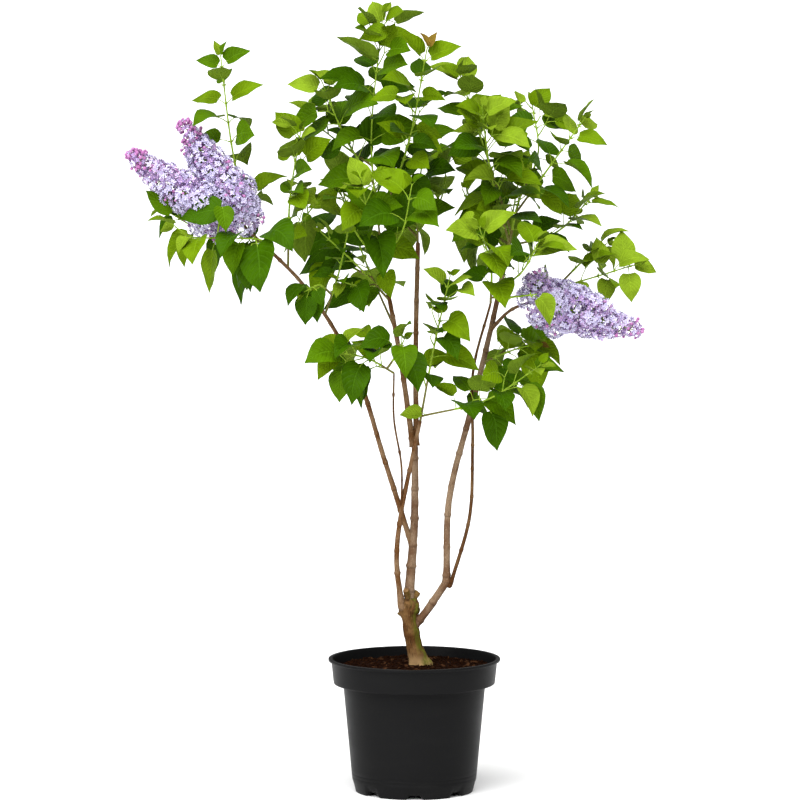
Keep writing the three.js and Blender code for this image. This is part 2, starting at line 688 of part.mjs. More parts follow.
// One leaf of a pair: it turns or shortens until it fits, or it is left out.
function growLeaf(draws, node, along, turn, shoot, share, own, plant) {
  const young = Math.max(0, (share - GROWTH.youngFrom) / (1 - GROWTH.youngFrom));
  const size = shoot.leaf * (1 - GROWTH.youngShrink * young) * draws.span(...GROWTH.sizes);
  const tilt = GROWTH.spread + GROWTH.youngSpread * young;
  const spread = radians(tilt + draws.span(-GROWTH.sway, GROWTH.sway));
  const arch = shoot.droop * (1 - GROWTH.youngDroop * young);
  const droop = radians(arch * draws.span(...GROWTH.droops));
  const sway = draws.span(-GROWTH.roll, GROWTH.roll);
  const reach = LEAF.stalk * (1 - GROWTH.youngStalk * young);
  const stalk = size * reach * draws.span(...GROWTH.stalks);
  const flat = new THREE.Vector3(0, 1, 0);
  if (Math.abs(along.y) > 0.9) flat.set(1, 0, 0);
  const across = along.clone().cross(flat).normalize();
  const over = along.clone().cross(across);
  const [middleX, middleY] = GROWTH.middle;
  const outward = new THREE.Vector3(node.x - middleX, node.y - middleY, 0);
  outward.divideScalar(Math.max(GROWTH.inside, outward.length()));
  for (const [extra, shrink] of GROWTH.tries) {
    const radial = across.clone().multiplyScalar(Math.cos(turn + extra));
    radial.addScaledVector(over, Math.sin(turn + extra));
    const toward = along.clone().multiplyScalar(Math.cos(spread));
    toward.addScaledVector(radial, Math.sin(spread));
    const rise = Math.asin(THREE.MathUtils.clamp(toward.z, -1, 1));
    const heading = toward.clone().setZ(0);
    if (heading.length() < 1e-3) heading.copy(radial).setZ(0);
    heading.normalize();
    const lean = heading.x * outward.y - heading.y * outward.x;
    const pose = { heading, rise, droop, roll: sway - GROWTH.outward * lean };
    const leaf = leafFrame(node, pose, size * shrink, stalk * shrink);
    if (leafFits(leaf, own, plant)) {
      own.leaves.push(leaf);
      return leaf;
    }
  }
  return null;
}

// All leaves of one shoot, in opposite pairs from its first node to its tip.
function growShoot(shoot, index, own, plant) {
  const draws = new Draws(own.seed * 1000 + index * 37 + 5);
  const start = draws.span(0, Math.PI);
  for (let k = 0; k < shoot.pairs; k += 1) {
    const step = ((k + GROWTH.firstNode) / shoot.pairs) ** GROWTH.crowding;
    const share = mix(shoot.first, 1, step);
    const node = shoot.path.at(share);
    const along = shoot.path.heading(share);
    const turn = start + k * QUARTER + draws.span(-GROWTH.turn, GROWTH.turn);
    const pair = [0, Math.PI].map((half) => (
      growLeaf(draws, node, along, turn + half, shoot, share, own, plant)
    ));
    own.pairs.push(pair.filter(Boolean));
  }
}

// The sections of a leaf from its stalk's end to its tip, for bend.
function leafRings(leaf) {
  const section = (centre, axis, width, depth) => ({
    centre: centre.clone().addScaledVector(axis.up, -depth / 3),
    side: axis.side.clone(),
    out: axis.up.clone().negate(),
    width: width / Math.sin(Math.PI / 3),
    depth: depth / 1.5,
  });
  const blade = (centre, k) => section(
    centre, leaf.axes[k], LEAF.halfWidth[k] * leaf.size, LEAF.keel[k] * leaf.size,
  );
  const stalk = section(leaf.neck, leaf.axes[0], LEAF.stalkRadius, LEAF.stalkRadius * 1.5);
  const point = section(leaf.tip, leaf.axes[1], 0, 0);
  if (leaf.size < LEAF.plainBelow) return [stalk, blade(leaf.broad, 0), point];
  return [stalk, blade(leaf.broad, 0), blade(leaf.slim, 1), point];
}

// A leaf from its node to its tip.
function leafSolid(leaf) {
  const rings = leafRings(leaf);
  rings.unshift({ ...rings[0], centre: leaf.root });
  return bend(new THREE.ConeGeometry(1, 1, 3, rings.length - 1), rings);
}

// A pair of leaves that face away from each other is one piece, tip to tip through
// the node that bears them; any other leaves are a piece each.
function pairSolids(pair) {
  const [first, second] = pair;
  const [here, there] = pair.map((leaf) => leaf.axes[0]);
  const apart = second ? Math.min(-here.side.dot(there.side), here.up.dot(there.up)) : 0;
  if (apart < LEAF.opposite) return pair.map(leafSolid);
  const rings = leafRings(first);
  const back = leafRings(second).reverse();
  back.forEach((ring) => ring.side.negate());
  const node = { ...rings[0], centre: first.root };
  return [bend(doubleCone(back.length + 1 + rings.length), [...back, node, ...rings])];
}

// An upright three-sided piece of unit radius that ends in a point both ways.
function doubleCone(count) {
  const outline = Array.from({ length: count }, (_, k) => (
    new THREE.Vector2(k % (count - 1) ? 1 : 0, k / (count - 1) - 0.5)
  ));
  return new THREE.LatheGeometry(outline, 3);
}

// A shoot of a mass, and the same grown by the gap.
function shootSolid(shoot) {
  return tube(shoot.path, (share) => mix(shoot.foot, SHOOT.tip, share), SHOOT.sides);
}

function grownShoot(shoot) {
  const radiusAt = (share) => mix(shoot.foot, SHOOT.tip, share) + cornerGap(SHOOT.sides);
  return tube(lengthened(shoot.path), radiusAt, SHOOT.sides);
}

// Joins the pieces of a mass and cuts them clear of every limb.
function fuse(pieces, limbs) {
  let solid = Manifold.union(pieces);
  for (const limb of limbs.values()) solid = solid.subtract(limb.grown);
  return mainBody(solid);
}

function massSolid(mass, plant) {
  const pieces = mass.shoots.map(shootSolid);
  mass.shoots.forEach((shoot, k) => growShoot(shoot, k, mass, plant));
  const pairs = mass.pairs.flatMap((pair) => pairSolids(pair));
  return fuse(pieces.concat(pairs), plant.limbs);
}

// ---------------------------------------------------------------- flower trusses

// A cone's radius along its axis: full low down, rounded off towards the tip.
function coneRadius(axis, share) {
  const [foot, tip] = axis.radius;
  return mix(foot, tip, share ** TRUSS.taper) * Math.min(1, TRUSS.root + share * TRUSS.swell);
}

// The radius that leaves keep clear of: the stem's, or the furthest of the uneven body.
function clearRadius(axis, share) {
  return share < axis.clear ? TRUSS.stem * 2 : coneRadius(axis, share) * TRUSS.bump[1];
}

// One cone: a stem that widens into a body whose surface the florets' clusters make
// uneven, each corner of it standing out by its own share.
function axisSolid(axis, draws) {
  const { path } = axis;
  const radiusAt = (share) => (share < axis.clear ? TRUSS.stem : coneRadius(axis, share));
  const geometry = new THREE.CylinderGeometry(1, 1, 1, TRUSS.sides, path.steps);
  const place = geometry.attributes.position;
  const bumps = new Map();
  for (let i = 0; i < place.count; i += 1) {
    const x = place.getX(i);
    const z = place.getZ(i);
    const key = [x, place.getY(i), z].map((v) => Math.round(v * 1000)).join();
    if (!bumps.has(key)) bumps.set(key, draws.span(...TRUSS.bump));
    place.setX(i, x * bumps.get(key));
    place.setZ(i, z * bumps.get(key));
  }
  return bend(geometry, pathRings(path, radiusAt));
}

// A truss, cut clear of the limbs and of the shoots that grow on through it.
function trussSolid(truss, plant) {
  const draws = new Draws(truss.seed);
  const solid = fuse(truss.axes.map((axis) => axisSolid(axis, draws)), plant.limbs);
  const shoots = plant.masses.flatMap((mass) => mass.shoots);
  return mainBody(shoots.reduce((rest, shoot) => rest.subtract(grownShoot(shoot)), solid));
}

// ---------------------------------------------------------------- the whole plant

function material(colour, roughness) {
  return new THREE.MeshStandardMaterial({ color: colour, roughness, metalness: 0 });
}

function named(name, solid, finish) {
  const mesh = new THREE.Mesh(toGeometry(solid), finish);
  mesh.name = name;
  return mesh;
}

function makePlant() {
  const limbs = makeLimbs();
  const masses = MASSES.map((row) => (
    { ...row, leaves: [], pairs: [], shoots: makeShoots(row, limbs) }
  ));
  for (const mass of masses) mass.edges = shootEdges(mass);
  const trusses = TRUSSES.map((row) => {
    const root = limbs.get(row.on).path.at(row.at);
    const axes = row.axes.map((axis) => (
      { ...axis, path: new Path(root, vec(axis.reach), [axis.bow], TRUSS.spacing) }
    ));
    return { ...row, axes };
  });
  const cones = trusses.flatMap((truss) => truss.axes.map((axis) => (
    { path: axis.path, radiusAt: (share) => clearRadius(axis, share) }
  )));
  return { limbs, masses, trusses, cones };
}

function build() {
  const object = new THREE.Group();
  const plant = makePlant();
  const bark = material(COLOUR.bark, 0.85);
  object.add(named('pot', potSolid(), material(COLOUR.pot, 0.45)));
  object.add(named('soil', soilSolid(), material(COLOUR.soil, 0.95)));
  for (const [name, limb] of plant.limbs) {
    const finish = name === 'trunk' ? material(COLOUR.trunk, 0.85) : bark;
    object.add(named(name, limb.solid, finish));
  }
  const leaf = material(COLOUR.leaf, 0.6);
  for (const mass of plant.masses) {
    object.add(named(mass.name, massSolid(mass, plant), leaf));
  }
  const petal = material(COLOUR.blossom, 0.7);
  for (const truss of plant.trusses) {
    object.add(named(truss.name, trussSolid(truss, plant), petal));
  }
  return object;
}

export default build();
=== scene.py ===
"""Potted lilac bush: the dressed model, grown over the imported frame.

The bush is grown again by the rule of its solids: the same limbs, shoots and
seeded leaves, carried on to finer twigs within each mass's own space. Lengths in
the plan are millimetres; every mesh is made in metres.
"""

import json
import logging
import math
from dataclasses import dataclass, field
from enum import Enum
from functools import cache, partial
from typing import Callable, Sequence

import bpy
import numpy as np
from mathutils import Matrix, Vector

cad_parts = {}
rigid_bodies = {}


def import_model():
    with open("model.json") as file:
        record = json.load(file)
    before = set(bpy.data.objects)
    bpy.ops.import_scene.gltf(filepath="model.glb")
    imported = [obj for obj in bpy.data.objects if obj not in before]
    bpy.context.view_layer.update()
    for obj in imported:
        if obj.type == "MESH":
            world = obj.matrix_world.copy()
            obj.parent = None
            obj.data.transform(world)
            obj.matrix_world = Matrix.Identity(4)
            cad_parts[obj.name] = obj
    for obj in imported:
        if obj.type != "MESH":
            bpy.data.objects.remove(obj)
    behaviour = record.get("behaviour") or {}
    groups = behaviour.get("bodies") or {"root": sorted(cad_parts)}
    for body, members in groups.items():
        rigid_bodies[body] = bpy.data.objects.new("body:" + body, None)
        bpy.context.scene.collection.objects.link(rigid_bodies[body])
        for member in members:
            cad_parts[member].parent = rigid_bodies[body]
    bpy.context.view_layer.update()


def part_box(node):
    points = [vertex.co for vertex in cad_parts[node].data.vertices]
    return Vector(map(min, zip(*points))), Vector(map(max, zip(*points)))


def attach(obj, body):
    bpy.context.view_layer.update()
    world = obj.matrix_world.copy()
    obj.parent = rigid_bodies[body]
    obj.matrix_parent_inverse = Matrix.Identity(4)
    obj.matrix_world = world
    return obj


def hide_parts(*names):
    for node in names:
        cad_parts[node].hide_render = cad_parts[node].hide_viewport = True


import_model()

LOG = logging.getLogger("lilac")

MM = 0.001
UP = np.array([0.0, 0.0, 1.0])
QUARTER = math.pi / 2
BODY = "root"
# the slope below which an edge runs alongside a face, the level part below which a way
# is upright, and how near the y axis a way may lie before the x axis takes its part
ALONGSIDE = 1e-12
UPRIGHT = 1e-3
STEEP = 0.9
SEEDS = 1 << 30
Triple = tuple[float, float, float]
Colour = tuple[float, float, float]
Span = tuple[float, float]
Row = tuple[float, ...]
Array = np.ndarray
Rng = np.random.Generator
Profile = Callable[[np.ndarray], np.ndarray]
Mesh = bpy.types.Mesh
Material = bpy.types.Material
Collection = bpy.types.Collection
Socket = bpy.types.NodeSocket


# --- the plan


@dataclass(frozen=True)
class LimbRow:
    """One bough: where it starts, where it leads and how thick it is."""

    name: str
    on: str
    at: float
    seat: Triple
    reach: Triple
    bows: tuple[Triple, ...]
    radius: Span


@dataclass(frozen=True)
class ShootRow:
    """One shoot of a mass and the leaves that it bears."""

    at: float
    reach: Triple
    bow: Triple
    pairs: int
    first: float
    leaf: float
    droop: float


@dataclass(frozen=True)
class MassRow:
    """One leafy mass: the limb that carries it, its seed and its shoots.

    twigs is how readily it grows finer twigs; the last field deals its leaves lighter or darker
    tones, as painted light or painted shade for where the mass stands.
    """

    name: str
    on: str
    seed: int
    shoots: tuple[ShootRow, ...]
    woody: bool = False
    twigs: float = 0.2
    # painted light and shade: lighter leaf tones for masses on the lit outside, darker ones for
    # inner, back and low masses
    light: float = 0.0


@dataclass(frozen=True)
class AxisRow:
    """One cone of a flower truss."""

    reach: Triple
    bow: Triple
    radius: Span
    clear: float
    buds: float = 0.1


@dataclass(frozen=True)
class TrussRow:
    """One flower truss at a bough's end."""

    name: str
    on: str
    seed: int
    axes: tuple[AxisRow, ...]


@dataclass(frozen=True)
class AccentRow:
    """A listed leaf: its node, its neck's way from there and its pose in degrees."""

    mass: str
    shoot: int
    at: float
    neck: Triple
    facing: float
    rise: float
    roll: float
    size: float
    young: float


@dataclass(frozen=True)
class StubRow:
    """A pruned branch's stub: its limb, place, heading and size."""

    on: str
    at: float
    turn: float
    lift: float
    length: float
    radius: float


LIMB_ROWS = (
    LimbRow("left_stem", "trunk", 0.93, (-13, -8, 0), (31, -39, 302),
            ((-15, -1, 0), (-15, 2, 1), (-8, 1, 1)), (4.6, 3.0)),
    LimbRow("centre_stem", "trunk", 1, (0, 0, 0), (10, 18, 247), ((4, -1, 0),), (6.4, 5.2)),
    LimbRow("centre_cut", "centre_stem", 1, (2, 2, 0), (3, 55, 327), ((-2, 2, -1),), (4.6, 3.6)),
    LimbRow("left_centre", "centre_stem", 1, (-3, -1, -2), (-46, 13, 279),
            ((3, 4, 0),), (4.8, 3.4)),
    LimbRow("far_left", "centre_stem", 0.33, (0, 0, 0), (-274, -65, 530),
            ((22, 20, 13), (44, 19, 26), (36, 12, 25)), (4.6, 2.6)),
    LimbRow("dark_twig", "left_stem", 0.5, (0, 0, 0), (-12, -60, 230),
            ((4, -1, 0), (-4, 1, 1)), (1.8, 1.5)),
    LimbRow("right_stem", "trunk", 0.52, (0, 0, 0), (60, -10, 86), ((1, 1, -2),), (6.6, 6.2)),
    LimbRow("right_main", "right_stem", 0.95, (0, 0, 0), (99, 29, 536),
            ((-20, -3, 2), (-12, 3, 1), (-4, 9, -1)), (5.6, 3.9)),
    LimbRow("right_thin", "right_stem", 1, (5, -2, -6), (62, -66, 460),
            ((14, -2, -4), (3, 1, -1), (-12, 5, 3)), (3.2, 2.0)),
    LimbRow("right_truss_bough", "right_main", 0.76, (0, 0, 0), (74, -72, 54),
            ((-5, 1, 8),), (2.8, 2.3)),
)

STUB_ROWS = (
    StubRow("trunk", 0.66, 172, 38, 24, 4.2),
    StubRow("trunk", 0.95, 250, 55, 25, 5.2),
    StubRow("trunk", 0.92, 20, 50, 24, 5.6),
    StubRow("right_stem", 0.9, 300, 70, 16, 2.4),
)

MASS_ROWS = (
    MassRow("crown_left_centre", "left_centre", 11, twigs=0.3, shoots=(
        ShootRow(1, (-3, -10, 422), (-20, 3, 0), 10, 0.1, 76, 45),
        ShootRow(0.03, (-71, -30, 127), (-10, 2, -5), 4, 0.2, 74, 60),
        ShootRow(0.19, (78, -90, 289), (9, -15, -9), 8, 0.12, 74, 45),
        ShootRow(0.35, (-84, 11, 166), (-6, -3, -3), 5, 0.2, 72, 50),
        ShootRow(0.42, (-99, 51, 70), (2, 7, -3), 3, 0.25, 68, 50),
    )),
    MassRow("crown_left_front", "left_centre", 12, shoots=(
        ShootRow(0.88, (-43, -140, 194), (-1, -16, -13), 5, 0.2, 74, 62),
        ShootRow(0.37, (54, -93, 126), (11, -13, -14), 3, 0.3, 74, 64),
    )),
    MassRow("crown_left_back", "left_centre", 13, twigs=0.1, light=-0.12, shoots=(
        ShootRow(0.68, (-99, 141, 260), (-5, 12, -9), 6, 0.2, 74, 62),
        ShootRow(0.33, (-105, 84, 83), (-2, 8, -11), 3, 0.3, 72, 60),
    )),
    MassRow("crown_left_low", "left_centre", 26, twigs=0.1, shoots=(
        ShootRow(0.85, (-110, -50, 114), (4, -6, 1), 5, 0.15, 60, 60),
        ShootRow(0.23, (-60, -75, 13), (1, -2, -5), 3, 0.3, 58, 64),
    )),
    MassRow("crown_left", "far_left", 14, twigs=0.15, light=-0.06, shoots=(
        ShootRow(0.97, (-48, 46, 281), (-6, 12, -5), 6, 0.36, 60, 50),
        ShootRow(0.1, (-88, -66, -33), (7, -2, -15), 3, 0.2, 72, 82),
        ShootRow(0.16, (-123, 14, -13), (5, 26, -38), 3, 0.3, 58, 64),
        ShootRow(0.17, (26, 113, 15), (-21, 9, -30), 3, 0.3, 70, 64),
    )),
    MassRow("crown_left_skirt", "far_left", 15, light=-0.4, shoots=(
        ShootRow(0.88, (-60, -74, 32), (12, -5, 10), 4, 0.15, 84, 85),
        ShootRow(0.3, (-33, 82, 4), (1, 0, -10), 3, 0.2, 78, 78),
    )),
    MassRow("crown_left_bright", "far_left", 16, light=0.32, shoots=(
        ShootRow(0.83, (20, 30, 217), (-7, 0, 1), 6, 0.15, 70, 50),
        ShootRow(0.2, (46, 94, 60), (-3, 3, -3), 3, 0.3, 68, 60),
    )),
    MassRow("crown_left_inner", "far_left", 17, light=-0.2, shoots=(
        ShootRow(0.67, (39, -37, 142), (3, -3, -2), 5, 0.2, 52, 60),
        ShootRow(0.24, (-43, -46, 8), (2, 0, 13), 2, 0.4, 56, 69),
    )),
    MassRow("crown_centre_back", "centre_cut", 18, twigs=0.3, light=-0.18, shoots=(
        ShootRow(0.93, (15, 58, 200), (-6, -5, 1), 5, 0.2, 76, 55),
        ShootRow(0.2, (49, 99, 118), (14, 3, -9), 5, 0.2, 70, 60),
        ShootRow(0.15, (-53, 111, 92), (-4, 1, -11), 4, 0.25, 70, 60),
    )),
    MassRow("crown_right", "right_main", 19, woody=True, twigs=0.25, light=0.2, shoots=(
        ShootRow(1, (32, -15, 125), (-3, 2, 1), 0, 0, 60, 60),
        ShootRow(0.06, (138, 91, 75), (9, -1, -18), 5, 0.2, 62, 60),
        ShootRow(0.49, (111, 26, 151), (0, -5, 0), 6, 0.18, 60, 50),
        ShootRow(0.1, (-46, -79, 222), (-7, -2, 0), 7, 0.12, 76, 48),
        ShootRow(0.23, (-84, -7, 258), (1, -14, -1), 8, 0.12, 72, 48),
        ShootRow(0.71, (21, 110, 144), (19, -5, -5), 5, 0.18, 58, 50),
    )),
    MassRow("crown_right_back", "right_main", 20, twigs=0.1, light=0.05, shoots=(
        ShootRow(0.92, (33, 159, 165), (-1, -3, -2), 5, 0.2, 72, 62),
        ShootRow(0.31, (-73, 83, 85), (-9, 3, -11), 4, 0.25, 70, 60),
    )),
    MassRow("crown_right_front", "right_thin", 21, light=0.12, shoots=(
        ShootRow(1, (-18, -32, 121), (9, 3, 0), 4, 0.15, 74, 69),
        ShootRow(0.14, (76, -46, 84), (8, -7, -10), 4, 0.2, 76, 71),
        ShootRow(0.07, (72, -61, 10), (-2, 2, -2), 3, 0.3, 72, 74),
    )),
    MassRow("crown_right_low", "right_main", 22, twigs=0.05, shoots=(
        ShootRow(0.66, (88, -48, 36), (0, 2, 3), 4, 0.15, 68, 69),
        ShootRow(0.31, (35, 86, 31), (2, -2, 0), 3, 0.25, 66, 69),
    )),
    MassRow("crown_far_right", "right_main", 23, light=0.4, shoots=(
        ShootRow(0.85, (232, 18, 59), (-2, 40, -8), 6, 0.3, 62, 60),
        ShootRow(0.43, (82, 32, 69), (1, 2, 6), 3, 0.3, 62, 64),
    )),
    MassRow("crown_low_right", "left_stem", 24, twigs=0.5, light=0.1, shoots=(
        ShootRow(1, (47, -63, 237), (-2, 3, 1), 6, 0.25, 62, 55),
        ShootRow(0.03, (189, -80, 89), (9, -7, -14), 5, 0.25, 68, 67),
    )),
    MassRow("crown_low_left", "dark_twig", 25, twigs=0.4, shoots=(
        ShootRow(1, (-94, -14, 35), (4, -2, 7), 4, 0.15, 70, 76),
        ShootRow(0.13, (27, -42, 49), (2, 2, 0), 2, 0.4, 70, 74),
    )),
)

ACCENT_ROWS = (
    AccentRow("crown_left", 1, 0.58, (8, -33, 45), 171, -14, -58, 70, -0.4),
    AccentRow("crown_left", 1, 0.57, (9, -38, 48), -75, -58, 0, 46, 0.0),
    AccentRow("crown_left", 2, 1.0, (11, -65, 5), 165, 36, -50, 56, 1.0),
    AccentRow("crown_far_right", 0, 0.75, (-6, 1, 18), 103, 60, 4, 48, 0.9),
    AccentRow("crown_far_right", 0, 0.89, (1, 14, 14), 100, 64, -6, 52, 1.0),
    AccentRow("crown_far_right", 0, 0.92, (1, -6, -11), -80, -66, 10, 50, 1.0),
    AccentRow("crown_far_right", 0, 0.78, (-3, -19, -10), -100, -60, -12, 46, 0.6),
    AccentRow("crown_low_right", 1, 0.04, (-8, -12, 6), 176, -8, -62, 36, 0.7),
    AccentRow("crown_low_right", 1, 0.28, (-4, -6, 22), 158, 24, -34, 40, 0.3),
    AccentRow("crown_left_centre", 0, 0.93, (8, -22, 4), 184, -18, -62, 46, 1.0),
    AccentRow("crown_left", 0, 1.0, (-1, -2, 2), 168, 66, -30, 26, 1.0),
    AccentRow("crown_left", 0, 1.0, (2, -2, 2), 8, 70, 30, 24, 1.0),
    AccentRow("crown_left_centre", 0, 0.98, (24, -12, -6), -10, 22, -30, 50, 0.1),
    AccentRow("crown_left_centre", 0, 0.82, (-4, -14, 4), 182, 30, 26, 74, -1.0),
    AccentRow("crown_left_centre", 2, 1.0, (2, -2, 3), 172, 58, -30, 27, 1.4),
    AccentRow("crown_left_centre", 2, 1.0, (4, -2, 3), 10, 62, 30, 27, 1.4),
)

PRUNED = {"crown_right_front": (8, 10), "crown_far_right": (5, 7, 8, 12)}

TRUSS_ROWS = (
    TrussRow("blossom_left", "far_left", 41, (
        AxisRow((-172, -28, 112), (4, -4, -10), (52, 12), 0.2, 0.6),
        AxisRow((-92, 16, 156), (8, -6, -4), (48, 12), 0.2, 0.75),
        AxisRow((-12, -38, 62), (4, -6, 2), (32, 18), 0.3),
    )),
    TrussRow("blossom_right", "right_truss_bough", 43, (
        AxisRow((158, -22, -48), (4, -8, 0), (50, 12), 0.1, 0.35),
        AxisRow((6, -34, 44), (-4, -4, 2), (32, 18), 0.2),
    )),
)


@dataclass(frozen=True)
class PotSizes:
    """The container's turned profile, as its solid has it."""

    height: float = 218
    lip_radius: float = 140
    lip_thickness: float = 4
    collar_top: float = 135.6
    collar_foot: float = 131.4
    collar_height: float = 41
    body_top: float = 116
    body_foot: float = 101.2
    foot_radius: float = 96
    foot_rise: float = 20
    wall: float = 2.3
    floor_under: float = 4
    floor_top: float = 6.5
    pad_radius: float = 32
    foot_ring: float = 9
    notches: int = 8
    notch_width: float = 23
    notch_height: float = 9
    notch_flare: float = 5

    def inner_radius(self, height: float) -> float:
        """Radius of the inner face at a height.

        Args:
            height: millimetres above the floor.

        Returns:
            The radius in millimetres.
        """
        collar = height > self.height - self.collar_height + self.wall
        low = self.height - self.collar_height if collar else self.foot_rise
        high = self.height if collar else self.height - self.collar_height
        start = self.collar_foot if collar else self.body_foot
        end = self.collar_top if collar else self.body_top
        return start + (end - start) * (height - low) / (high - low) - self.wall


@dataclass(frozen=True)
class TrunkSizes:
    """The trunk's lean, waist, root flare and pruned head."""

    foot: Triple = (9, 0, 206.3)
    reach: Triple = (-18, 0, 110)
    bow: Triple = (-5, 0, 0)
    steps: int = 9
    waist: float = 12.6
    flare: float = 6.5
    flare_height: float = 14
    head: float = 3.6
    head_at: float = 0.9
    head_spread: float = 0.13

    def radius(self, share: Array) -> Array:
        """Radius along the trunk, at shares of its length."""
        flare = self.flare * np.exp(-share * self.reach[2] / self.flare_height)
        return self.waist + flare + self.head * hump(share, self.head_at, self.head_spread)


@dataclass(frozen=True)
class LeafShape:
    """A leaf's proportions, as shares of its blade's length."""

    stalk: float = 0.34
    along: Span = (0.26, 0.64)
    half_width: Span = (0.38, 0.28)
    arch: tuple[float, float, float] = (0.45, 0.8, 1.1)
    steepest: float = -86


@dataclass(frozen=True)
class GrowthRule:
    """How leaves stand, and what a leaf tries before it is left out."""

    first_node: float = 0.3
    crowding: float = 0.92
    turn: float = 0.3
    young_from: float = 0.62
    young_shrink: float = 0.34
    young_spread: float = -26
    young_droop: float = 0.45
    young_stalk: float = 0.3
    sizes: Span = (0.85, 1.1)
    spread: float = 58
    sway: float = 10
    droops: Span = (0.6, 1.35)
    stalks: Span = (0.85, 1.2)
    roll: float = 0.35
    outward: float = 1
    middle: Span = (-20, 320)
    inside: float = 90
    margin: float = 2
    limb_clear: float = 2.2
    truss_clear: float = 3
    leaf_clear: float = 5
    tries: tuple[Span, ...] = (
        (0, 1), (0.45, 1), (-0.45, 1), (0.9, 0.9), (-0.9, 0.9), (0, 0.75), (0.6, 0.7), (-0.6, 0.7),
    )
    seeds: tuple[int, int, int] = (1000, 37, 5)

    def young(self, share: float) -> float:
        """How young a leaf is at a share of its shoot, from 0 to 1."""
        return max(0.0, (share - self.young_from) / (1 - self.young_from))


@dataclass(frozen=True)
class FineRule:
    """How the finer twigs stand, up to two between each two leaf pairs, and what they bear."""

    seed: int = 11
    beyond: float = 6
    tuft: Row = (0.5, 0.42)
    tuft_droop: float = 0.5
    bare: float = 0.6
    between: Span = (0.3, 0.7)
    length: Span = (10, 30)
    lean: float = 52
    sway: float = 12
    rise: float = 0.25
    curve: Span = (0.12, 0.1)
    steps: int = 3
    sizes: Row = (0.95, 0.8)
    spread: Span = (0.85, 1.15)
    younger: float = 0.15
    closer: float = 0.5


@dataclass(frozen=True)
class TrussSizes:
    """The uneven cone that a truss keeps to."""

    spacing: float = 15
    stem: float = 2
    bump: float = 1.15
    root: float = 0.55
    swell: float = 3
    taper: float = 1.2

    def radius(self, axis: AxisRow, share: Array) -> Array:
        """A cone's radius along its axis: full low down, narrow at its tip.

        Args:
            axis: the cone.
            share: shares of its length.

        Returns:
            The radius at each.
        """
        foot, tip = axis.radius
        body = foot + (tip - foot) * share ** self.taper
        return body * np.minimum(1, self.root + share * self.swell)

    def room(self, axis: AxisRow, share: Array) -> Array:
        """The radius that leaves keep clear of."""
        return np.where(share < axis.clear, self.stem * 2, self.radius(axis, share) * self.bump)


POT = PotSizes()
TRUNK = TrunkSizes()
LEAF = LeafShape()
RULE = GrowthRule()
FINE = FineRule()
TRUSS = TrussSizes()
SOIL_LEVEL = 206.0
SHOOT_SPACING = 45.0
LIMB_SPACING = 50.0
SHOOT_RADIUS = 2.6
WOODY_RADIUS = 3.6
ACCENT_LIFT = 0.2
ACCENT_ARCH = 0.25


# --- growing


def unit(vector: Array) -> Array:
    """The vector at length one."""
    return vector / np.linalg.norm(vector)


def hump(value: Array, at: float, spread: float) -> Array:
    """A smooth hump: 1 at a place, and near 0 twice its spread away."""
    return np.exp(-(((value - at) / spread) ** 2))


def bend(a: Array, b: Array, leave: Array, reach: Array, t: Array) -> Array:
    """A smooth way from a to b, with the ways it leaves and reaches them, at shares t."""
    square, cube = 3 * (b - a) - 2 * leave - reach, 2 * (a - b) + leave + reach
    return a + leave * t + square * t ** 2 + cube * t ** 3


@dataclass
class Draws:
    """Seeded draws between 0 and 1, the same in every run: a step, then mixed bits."""

    STEP = 0x6D2B79F5
    WORD = 0xFFFFFFFF

    state: int

    def next(self) -> float:
        """Gives the next draw.

        Returns:
            A number from 0 up to 1.
        """
        self.state = (self.state + self.STEP) & self.WORD
        t = self.state
        t = ((t ^ (t >> 15)) * (t | 1)) & self.WORD
        t ^= (t + (((t ^ (t >> 7)) * (t | 61)) & self.WORD)) & self.WORD
        return (t ^ (t >> 14)) / (self.WORD + 1)

    def span(self, low: float, high: float) -> float:
        """The next draw, spread over a range."""
        return low + (high - low) * self.next()


